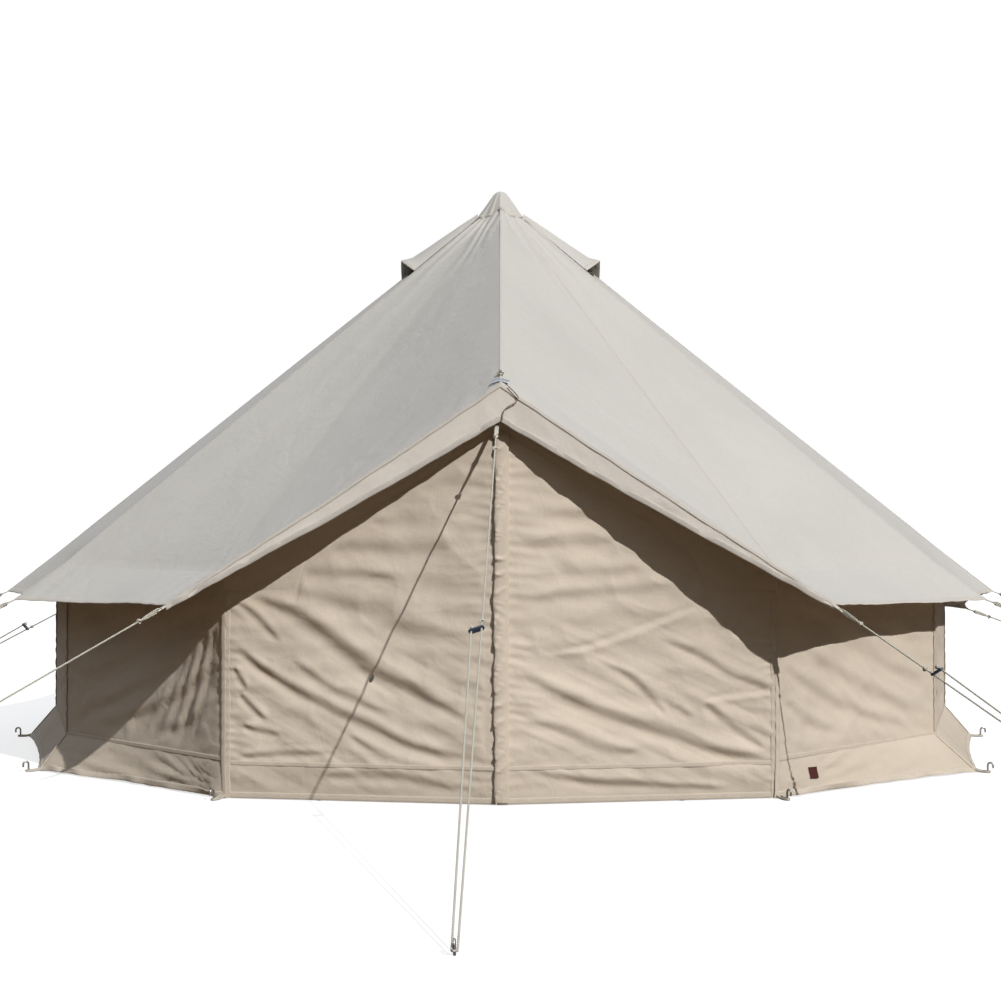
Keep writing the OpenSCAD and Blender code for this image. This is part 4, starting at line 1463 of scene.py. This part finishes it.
@dataclass
class Door:
    """The two flaps, the header above them, the storm strip and the zip."""

    palette: Palette
    plan: Plan = PLAN
    edge: tuple = ((0.0, 0.0), (0.27, 0.02), (0.305, 0.19), (0.36, 0.285), (0.49, 0.45),
                   (0.69, 0.665), (0.877, 0.87), (1.0, 1.0))
    strip_past: float = 0.011
    ruffle_h: float = 0.0150

    def __post_init__(self) -> None:
        """Works out the door's planes."""
        p = self.plan
        self.hinge = p.knee(1)
        self.mid = vec(0, -p.door_y, 0)
        run = vec(self.mid[0] - self.hinge[0], self.mid[1] - self.hinge[1], 0)
        self.length = float(np.linalg.norm(run))
        self.along = unit(run)
        self.out = vec(self.along[1], -self.along[0], 0)
        if self.out[1] > 0:
            self.out = -self.out

    def top_at(self, u: Array, lift: float = 0.0) -> Array:
        """Height of the flaps' top edge, a distance u from the hinge."""
        p = self.plan
        xs = [a * self.length for a, _ in self.edge]
        zs = [p.flap_low + (p.flap_top - p.flap_low) * b + lift for _, b in self.edge]
        return np.interp(u, xs, zs)

    def spot(self, side: Side, u: Array, z: Array, proud: Array) -> Array:
        """Points on a door plane.

        Args:
            side: which half.
            u: distance from the hinge.
            z: height.
            proud: distance in front of the plane.

        Returns:
            The points.
        """
        flip = vec(side.value, 1, 1)
        base = vec(self.hinge[0], self.hinge[1], 0)
        pts = base + u[..., None] * self.along + proud[..., None] * self.out
        pts[..., 2] = z
        return pts * flip

    def folds(self, u: Array, z: Array, side: Side) -> Array:
        """The flap's folds, as a distance in front of its plane."""
        left = side is Side.LEFT
        noise = Noise(31 if left else 47)
        x = u / self.length
        body = creased(u, z, LEFT_FLAP if left else RIGHT_FLAP)
        lean = z + (0.55 if left else -0.45) * u
        low = 1 - smooth(z, 0.45, 0.75)
        swag = z - 0.03 * np.sin(math.pi * x) + noise.at(x * 1.6, z * 2.6) * 0.012
        body = body + fold(swag / 0.085 + noise.at(x * 1.1, z * 3.0) * 0.4, 1.3) * 0.0020
        body = body + noise.fractal(u * 2.6 - z, lean * 17, 3) * (0.0008 + 0.0022 * low)
        body = body + noise.fractal(x * 3, z * 6, 2) * 0.0025
        body = body + crease_web(noise, u + side.value, z, 0.0085)
        calm = smooth(z, 0.015, 0.07) * smooth(self.top_at(u) - z, 0.0, 0.06)
        ends = smooth(x, 0.0, 0.05) * (0.2 + 0.8 * smooth(1 - x, 0.0, 0.08))
        pucker = fold(z / 0.038 + noise.at(x * 6, z * 7) * 0.9, 1.3)
        pucker = pucker * (np.exp(-(1 - x) * 14) + np.exp(-x * 22)) * smooth(x, 0.0, 0.015)
        return body * calm * ends + pucker * 0.0045 * calm

    def make(self) -> None:
        """Builds the whole door."""
        for side in Side:
            self.flap(side)
        self.header()
        self.strip()
        self.zip()
        log.info("door: each flap is %.3f long", self.length)

    def width(self, side: Side) -> float:
        """How far a flap reaches from its hinge."""
        extra = self.plan.split_x
        return self.length + (extra if side is Side.RIGHT else -extra - 0.003)

    def flap(self, side: Side) -> None:
        """Builds one flap with its hems."""
        p = self.plan
        width = self.width(side)
        body = Body.FLAP_RIGHT if side is Side.RIGHT else Body.FLAP_LEFT
        name = "right" if side is Side.RIGHT else "left"
        u = np.linspace(0.006, width, 181)[None, :]
        t = np.linspace(0, 1, 211)[:, None]
        top = self.top_at(np.minimum(u, self.length))
        z = 0.003 + (top - 0.003) * t
        u = u + t * 0
        proud = np.minimum(self.folds(u, z, side),
                           0.0035 + 0.02 * smooth(self.length - u, 0.045, 0.12))
        grid = Grid(self.spot(side, u, z, proud), np.stack([u, z], -1))
        cloth = grid_mesh(f"door_flap_{name}_cloth", [grid])
        dress(cloth, self.palette.flap, body)
        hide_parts(f"door_flap_{name}")
        level = self.out * vec(side.value, 1, 1)
        seam_z = p.band_h - 0.010 + u[0] * 0
        seam_path = self.spot(side, u[0], seam_z, self.folds(u[0], seam_z, side) + 0.0016)
        low_path = grid.pts[0] + vec(0, 0, 0.011) + level * 0.0012
        side_path = grid.pts[:, 0] + level * 0.0014 + self.along * vec(side.value, 1, 1) * 0.010
        across = self.along * vec(side.value, 1, 1)
        strips = [ribbon_grid(seam_path, vec(0, 0, 1), 0.016, 0.0016),
                  ribbon_grid(low_path, vec(0, 0, 1), 0.022, 0.0020),
                  ribbon_grid(side_path[:-2], across, 0.019, 0.0020)]
        hem = grid_mesh(f"door_flap_{name}_seams", strips)
        dress(hem, self.palette.seam_wall, body)

    def header(self) -> None:
        """Builds the fixed strip between the flaps and the roof."""
        p = self.plan
        grids, area, lap = [], 0.0, 0.022
        for side in Side:
            u = np.linspace(0.002, self.length - 0.0003, 90)[None, :]
            t = np.linspace(0, 1, 16)[:, None]
            low = self.top_at(u, -lap)
            roof = np.interp(u, [0, self.length],
                             [p.wall_top - 0.004, p.roof_top - p.front_slope * p.door_y - 0.004])
            high = np.maximum(roof, low + lap + 0.002)
            z = low + (high - low) * t
            u = u + t * 0
            behind = 0.0035 * (1 - smooth(z - low, lap * 0.7, lap * 1.8))
            proud = Noise(61).fractal(u * 9, z * 9, 3) * 0.003 * np.sin(math.pi * t) - behind
            grids.append(Grid(self.spot(side, u, z, proud), np.stack([u, z], -1)))
            area += float(np.mean(high - low)) * self.length
        cloth = grid_mesh("door_header_cloth", grids)
        dress(cloth, self.palette.flap, Body.TENT)
        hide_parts("door_header")

    def strip(self) -> None:
        """Builds the ruffled storm strip over the zip."""
        p = self.plan
        width = self.width(Side.RIGHT)
        x0 = width - p.strip_w + self.strip_past
        z = np.linspace(p.flap_lift + 0.002, p.flap_top - 0.016, 330)
        noise = Noise(71)
        across = np.array([0.0, 0.0, 0.0015, 0.008, 0.018,
                           0.028, 0.038, 0.046, 0.0495, 0.0500])
        depth = np.array([0.001, 0.008, 0.0125, 0.0135, 0.0138,
                          0.0132, 0.0118, 0.0095, 0.0068, 0.0045])
        a, h = np.meshgrid(across, z)
        d = np.broadcast_to(depth, a.shape)
        loose = smooth(a, 0.004, 0.046)
        ruffle = fold((h + a * 1.6) / 0.070 + noise.at(h * 9, a * 12) * 0.9, 2.6)
        small = fold((h - a * 0.8) / 0.027 + noise.at(h * 26, a * 25) * 0.9, 1.3)
        ruffle = ruffle * self.ruffle_h + small * 0.0028
        sway = noise.at(h * 6.0, a * 0 + 1.5) * 0.0045 + noise.at(h * 21.0, a * 0 + 4.5) * 0.0035
        u = x0 + a + sway * loose
        grid = Grid(self.spot(Side.RIGHT, u, h, d + np.maximum(ruffle, -0.0015) * loose),
                    np.stack([a, h], -1))
        cloth = grid_mesh("storm_strip_cloth", [grid])
        dress(cloth, self.palette.flap, Body.FLAP_RIGHT)
        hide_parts("storm_strip")

    def zip(self) -> None:
        """Builds the zip's tapes and teeth, and dresses its slider."""
        for side in Side:
            name = "right" if side is Side.RIGHT else "left"
            body = Body.FLAP_RIGHT if side is Side.RIGHT else Body.FLAP_LEFT
            lo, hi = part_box(f"zip_tape_{name}")
            z = np.linspace(lo.z, hi.z, 120)
            u = self.width(side) - 0.0075 + z * 0
            mid = self.spot(side, u, z, z * 0 + 0.0008)
            tape = grid_mesh(f"zip_tape_{name}_cloth",
                             [ribbon_grid(mid, self.along * vec(side.value, 1, 1), 0.013, 0.0012)])
            dress(tape, self.palette.tape, body)
            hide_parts(f"zip_tape_{name}")
            self.teeth(side, name, body, lo.z, hi.z)
        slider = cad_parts["zip_slider"]
        slider.data.materials.clear()
        slider.data.materials.append(self.palette.slider)

    def teeth(self, side: Side, name: str, body: Body, low: float, high: float) -> None:
        """Builds one row of zip teeth."""
        pitch = 0.0032
        n = int((high - low) / pitch)
        z = low + (np.arange(n) + 0.5) * pitch
        w = self.width(side)
        verts, faces = [], []
        for i, h in enumerate(z):
            base = i * 8
            u = np.array([w - 0.0035, w - 0.0002, w - 0.0002, w - 0.0035] * 2)
            zz = h + np.array([-1, -1, 1, 1] * 2) * 0.0010
            proud = np.array([0.0004] * 4 + [0.0022] * 4)
            verts.append(self.spot(side, u, zz, proud))
            faces += [[base + a for a in f] for f in
                      ([0, 1, 2, 3], [4, 7, 6, 5], [0, 4, 5, 1], [1, 5, 6, 2],
                       [2, 6, 7, 3], [3, 7, 4, 0])]
        obj = build(f"zip_teeth_{name}", np.concatenate(verts), faces)
        obj.data.shade_flat()
        dress(obj, self.palette.teeth, body)


@dataclass
class ApexCap:
    """The doubled cap of canvas over the pole's head."""

    palette: Palette
    roof: Roof
    rim_r: float = 0.107

    def make(self) -> None:
        """Builds the cap with its gathers and stitched rim."""
        lo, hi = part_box("apex_cap")
        top, rim = hi.z, lo.z
        noise = Noise(83)
        prof = [(0.003, 0.0), (0.013, 0.01), (0.022, 0.05), (0.032, 0.13), (0.043, 0.26),
                (0.058, 0.44), (0.076, 0.65), (0.092, 0.83), (self.rim_r, 0.985),
                (self.rim_r + 0.001, 1.0)]
        n = 96
        around = np.linspace(0, 360, n + 1)
        floor = self.roof.height_at(around, self.rim_r + 0.004) + 0.004
        rows = []
        for i, (r, part) in enumerate(prof):
            a = np.linspace(0, 2 * math.pi, n + 1)
            z = top + (floor - top) * part
            share = i / (len(prof) - 1)
            gather = (np.cos(a * 12) * 0.005 + np.cos(a * 29 + 1) * 0.0026) * share**2
            gather = gather + noise.at(a * 5 / math.pi, a * 0 + share * 4) * 0.002 * share
            rr = r + gather - 0.004 * share**2
            rows.append(np.stack([rr * np.cos(a - math.pi / 2), rr * np.sin(a - math.pi / 2),
                                  z + (1 + np.cos(a * 12)) * 0.0012 * share], -1))
        pts = np.array(rows)
        pts[:, -1] = pts[:, 0]
        run = np.cumsum([0.014] * len(prof))
        uv = np.stack(np.meshgrid(run, np.linspace(0, 0.66, n + 1), indexing="ij"), -1)
        grid = Grid(pts, uv)
        cap = grid_mesh("apex_cap_cloth", [grid], closed=True)
        dress(cap, self.palette.roof, Body.TENT)
        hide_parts("apex_cap")
        up = unit(pts[-3] - pts[-2])
        level = unit(pts[-1] * vec(1, 1, 0))
        path = pts[-2] + up * 0.007 + unit(level + vec(0, 0, 0.9)) * 0.0008
        rim_seam = grid_mesh("apex_cap_seam", [ribbon_grid(path, up, 0.015, 0.0020)])
        dress(rim_seam, self.palette.seam_roof, Body.TENT)
        log.info("apex cap: top %.3f", top)


@dataclass
class Vents:
    """The two hooded vents near the apex."""

    palette: Palette
    roof: Roof
    plan: Plan = PLAN
    r0: float = 0.100
    lip_r: float = 0.440
    lip_h: float = 0.080
    base_r: float = 0.400
    rear_r: float = 0.468
    spread_deg: float = 20.0

    def on_roof(self, azimuth: float, r: float) -> Array:
        """A point on the roof's flat gores."""
        p = self.plan
        off = abs(azimuth % p.step - p.step / 2)
        c = math.cos(math.radians(off)) / math.cos(math.radians(p.step / 2))
        return polar(azimuth, r, p.roof_top - p.slope * r * c)

    def make(self) -> None:
        """Builds both hoods and both netting panels."""
        hoods, nets, hems = [], [], []
        for a in (90.0, 270.0):
            hood, lip = self.hood(a)
            hoods.append(hood)
            hems.append(lip)
            nets.append(self.net(a))
        hood = grid_mesh("vent_hood_cloth", hoods)
        dress(hood, self.palette.roof, Body.TENT)
        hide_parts("vent_hoods")
        hem = grid_mesh("vent_hood_hem", hems)
        dress(hem, self.palette.seam_roof, Body.TENT)
        net = grid_mesh("vent_netting", nets)
        dress(net, self.palette.netting, Body.TENT)
        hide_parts("vent_mesh")
        log.info("vents: two hoods")

    def hood(self, azimuth: float) -> tuple[Grid, Grid]:
        """One hood and the hem of its mouth."""
        rows, cols = 20, 24
        pts = np.zeros((rows + 1, cols + 1, 3))
        for i in range(rows + 1):
            t = i / rows
            r = mix(self.r0, self.lip_r, t)
            half = self.spread_deg * (0.25 + 0.75 * t**0.8)
            high = float(np.interp(t, (0, 0.24, 0.47, 0.66, 0.85, 1.0),
                                   (0.018, 0.029, 0.038, 0.045, 0.054, self.lip_h)))
            for j in range(cols + 1):
                s = j / cols * 2 - 1
                rear = s > 0 if azimuth < 180 else s < 0
                base = mix(self.r0, self.rear_r if rear else self.base_r, t)
                rr = base + (r - base) * (1 - abs(s) ** 1.5)
                p = self.on_roof(azimuth + s * half, rr)
                arch = (1 - abs(s) ** 1.8) * high
                pts[i, j] = p + vec(0, 0, 0.0045 + arch)
        uv = np.stack(np.meshgrid(np.linspace(0, 0.36, rows + 1), np.linspace(0, 0.31, cols + 1),
                                  indexing="ij"), -1)
        grid = Grid(pts, uv)
        edge, inner = pts[-1], pts[-2]
        inward = unit(inner - edge)
        hem = ribbon_grid(edge + inward * 0.010, inward, 0.022, 0.003)
        return grid, hem

    def net(self, azimuth: float) -> Grid:
        """The netting on the roof under one hood."""
        rows, cols = 10, 12
        pts = np.zeros((rows + 1, cols + 1, 3))
        for i in range(rows + 1):
            r = mix(0.17, 0.415, i / rows)
            half = mix(3.0, 17.0, i / rows)
            for j in range(cols + 1):
                s = j / cols * 2 - 1
                pts[i, j] = self.on_roof(azimuth + s * half, r) + vec(0, 0, 0.0035)
        uv = np.stack(np.meshgrid(np.linspace(0, 0.18, rows + 1), np.linspace(0, 0.2, cols + 1),
                                  indexing="ij"), -1)
        return Grid(pts, uv)


# --- small fittings -----------------------------------------------------------------------


@dataclass
class Fittings:
    """Tabs, loops, eyelets, the peak's saddle, ring and cord, and the finishes of poles and pegs.
    """

    palette: Palette
    plan: Plan = PLAN

    def make(self) -> None:
        """Builds the small pieces and dresses the frame's own ones."""
        self.tabs()
        self.loops()
        self.peak()
        self.dress_frame()

    def tabs(self) -> None:
        """Webbing tabs and eyelets at the eave corners."""
        straps, eyes, ties = [], [], []
        for k in range(self.plan.sides):
            line = GuyLine(k)
            top, u = self.plan.guy_top(k), line.u
            x = unit(np.cross(u, vec(0, 0, 1)))
            back = -0.060 if k else -0.042
            path = np.array([top + u * d for d in np.linspace(back, self.plan.tab_l, 9)])
            straps.append(ribbon_grid(path, x, 0.022 if k else 0.015, 0.003))
            n = np.cross(x, u)
            eye = top + u * (self.plan.tab_l - 0.014)
            eyes.append(grommet(eye, n, 0.005, 0.0095))
            knot = line.start + u * 0.068
            for s in (-1, 1):
                ties.append(rounded([eye + n * 0.0035 * s, eye + u * 0.012 + n * 0.006 * s,
                                     knot - u * 0.02 + n * 0.004 * s, knot], 6))
        strap = grid_mesh("eave_tab_webbing", straps, closed=True)
        dress(strap, self.palette.webbing, Body.TENT)
        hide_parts("eave_tabs")
        eye = grid_mesh("eave_tab_eyelets", eyes, closed=True)
        dress(eye, self.palette.brass, Body.TENT)
        tie = tube_mesh("eave_tab_ties", ties, 0.0022)
        dress(tie, self.palette.rope, Body.TENT)

    def loops(self) -> None:
        """Webbing loops at the hem with the pegs through them."""
        straps = []
        for k in range(1, self.plan.sides):
            d = polar(k * self.plan.step, 1.0, 0.0)
            side = vec(-d[1], d[0], 0)
            base = polar(k * self.plan.step, self.plan.hem_r(k), 0.0)
            for s in (-1, 1):
                path = rounded([base - d * 0.012 + side * s * 0.009 + vec(0, 0, 0.012),
                                base + d * 0.012 + side * s * 0.009 + vec(0, 0, 0.0055),
                                base + d * 0.034 + side * s * 0.0095 + vec(0, 0, 0.0050),
                                base + d * 0.048 + side * s * 0.006 + vec(0, 0, 0.0050),
                                base + d * 0.0505 + vec(0, 0, 0.0050)], 5)
                straps.append(ribbon_grid(path, vec(0, 0, 1), 0.0085, 0.0024))
        strap = grid_mesh("hem_loop_webbing", straps, closed=True)
        dress(strap, self.palette.webbing, Body.TENT)
        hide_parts("hem_loops")

    def peak(self) -> None:
        """The metal saddle and the spike's ring at the front tip, and the cord tied there."""
        p = self.plan
        lo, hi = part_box("door_frame_bracket")
        y = (lo.y + hi.y) / 2
        ridge = p.roof_top + p.front_slope * y
        fall = (p.tip(0)[2] - p.knee(1)[2] + p.front_slope * (p.knee(1)[1] + p.door_y)) / 0.985
        x = np.linspace(-0.031, 0.031, 17)
        front = y - 0.040
        path = np.stack([x, x * 0 + front, ridge - p.front_slope * 0.040 + 0.007
                         - fall * 0.42 * np.sqrt(x * x + 0.00004)], -1)
        plate = grid_mesh("peak_saddle", [ribbon_grid(path, vec(0, 1, 0.478), 0.024, 0.0024)])
        dress(plate, self.palette.steel, Body.TENT)
        ring = grid_mesh("peak_ring", [grommet(vec(0, y, ridge + 0.010), vec(0, -0.43, 0.9),
                                               0.0052, 0.0125)], closed=True)
        dress(ring, self.palette.brass, Body.TENT)
        front = p.peak[1] - 0.016
        z = p.peak[2]
        route = [vec(0.027, front + 0.004, z - 0.004), vec(0.046, front, z - 0.022),
                 vec(0.061, front, z - 0.043), vec(0.049, front - 0.002, z - 0.061),
                 vec(0.018, front - 0.001, z - 0.080), vec(0.008, front, z - 0.100),
                 vec(0.006, front - 0.001, z - 0.119)]
        path = rounded(route, 6)
        cord = tube_mesh("peak_cord", [path], 0.0022)
        dress(cord, self.palette.peak_cord, Body.TENT)

    def dress_frame(self) -> None:
        """Finishes for the frame's own poles and pegs."""
        table = {
            "centre_pole_lower": self.palette.steel, "centre_pole_upper": self.palette.steel,
            "centre_pole_foot": self.palette.plastic, "centre_pole_cap": self.palette.plastic,
            "door_frame_leg_left": self.palette.steel, "door_frame_leg_right": self.palette.steel,
            "door_frame_bracket": self.palette.steel, "door_frame_feet": self.palette.plastic,
            "hem_pegs": self.palette.peg, "guy_pegs": self.palette.peg,
        }
        for name, material in table.items():
            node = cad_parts[name]
            node.data.materials.clear()
            node.data.materials.append(material)
        log.info("frame pieces dressed: %d", len(table))


# --- studio -------------------------------------------------------------------------------


@dataclass
class Studio:
    """A pale floor, a soft key light and an even fill."""

    palette: Palette
    key: tuple[float, float, float] = (0.44, -0.70, 0.56)
    strength: float = 2.85
    zenith: float = 0.88
    horizon: float = 0.055
    paper: float = 1.0

    def make(self) -> None:
        """Adds the floor, the key light, the fill and the plain background."""
        size = 40.0
        corners = np.array([[-size, -size, 0], [size, -size, 0],
                            [size, size, 0], [-size, size, 0]])
        floor = build("floor", corners, [[0, 1, 2, 3]])
        floor.data.materials.append(self.palette.ground)
        floor.visible_diffuse = False
        floor.visible_glossy = False
        data = bpy.data.lights.new("key", "SUN")
        data.energy = self.strength
        data.angle = math.radians(0.55)
        data.color = (1.0, 0.98, 0.945)
        key = bpy.data.objects.new("key", data)
        key.rotation_euler = Vector(self.key).to_track_quat("Z", "Y").to_euler()
        bpy.context.scene.collection.objects.link(key)
        bpy.context.scene.world = self.fill()
        bpy.context.scene.view_settings.view_transform = "Standard"
        log.info("studio ready")

    def fill(self) -> bpy.types.World:
        """A soft overhead fill that fades towards the horizon, and a plain pale background."""
        world = bpy.data.worlds.new("plain")
        world.use_nodes = True
        tree = world.node_tree
        tree.nodes.clear()

        def add(kind: str) -> bpy.types.Node:
            """Adds a node."""
            return tree.nodes.new(kind)

        place, axes = add("ShaderNodeTexCoord"), add("ShaderNodeSeparateXYZ")
        tree.links.new(place.outputs["Generated"], axes.inputs[0])
        ramp = add("ShaderNodeValToRGB")
        els = ramp.color_ramp.elements
        stops = [(0.0, self.horizon, (2.1, 1.45, 0.86)), (0.12, self.horizon, (1.0, 0.95, 0.88)),
                 (0.5, mix(self.horizon, self.zenith, 0.25), (0.90, 0.95, 1.0)),
                 (1.0, self.zenith, (0.90, 0.95, 1.0))]
        while len(els) < len(stops):
            els.new(0.5)
        for el, (at, level, colour) in zip(els, stops):
            el.position = at
            el.color = (*[level * c for c in colour], 1.0)
        tree.links.new(axes.outputs[2], ramp.inputs[0])
        behind, both = add("ShaderNodeValToRGB"), add("ShaderNodeMix")
        behind.color_ramp.elements[0].position = 0.15
        behind.color_ramp.elements[0].color = (0.0, 0.0, 0.0, 1.0)
        behind.color_ramp.elements[1].color = (0.12, 0.16, 0.24, 1.0)
        tree.links.new(axes.outputs[1], behind.inputs[0])
        both.data_type, both.blend_type = "RGBA", "ADD"
        both.inputs[0].default_value = 1.0
        tree.links.new(ramp.outputs[0], both.inputs[6])
        tree.links.new(behind.outputs[0], both.inputs[7])
        soft, plain = add("ShaderNodeBackground"), add("ShaderNodeBackground")
        tree.links.new(both.outputs[2], soft.inputs[0])
        plain.inputs[0].default_value = (self.paper, self.paper, self.paper, 1.0)
        seen, choice = add("ShaderNodeLightPath"), add("ShaderNodeMixShader")
        out = add("ShaderNodeOutputWorld")
        tree.links.new(seen.outputs["Is Camera Ray"], choice.inputs[0])
        tree.links.new(soft.outputs[0], choice.inputs[1])
        tree.links.new(plain.outputs[0], choice.inputs[2])
        tree.links.new(choice.outputs[0], out.inputs[0])
        return world


def main() -> None:
    """Builds the tent's pieces in order."""
    logging.basicConfig(level=logging.INFO, format="%(name)s: %(message)s")
    palette = Palette()
    Viewpoint().make()
    GuyRopes(palette).make()
    roof = Roof(palette)
    roof.make()
    Valance(palette, roof).make()
    Wall(palette).make()
    Door(palette).make()
    ApexCap(palette, roof).make()
    Vents(palette, roof).make()
    Fittings(palette).make()
    Studio(palette).make()
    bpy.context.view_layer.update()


if __name__ == "__main__":
    main()
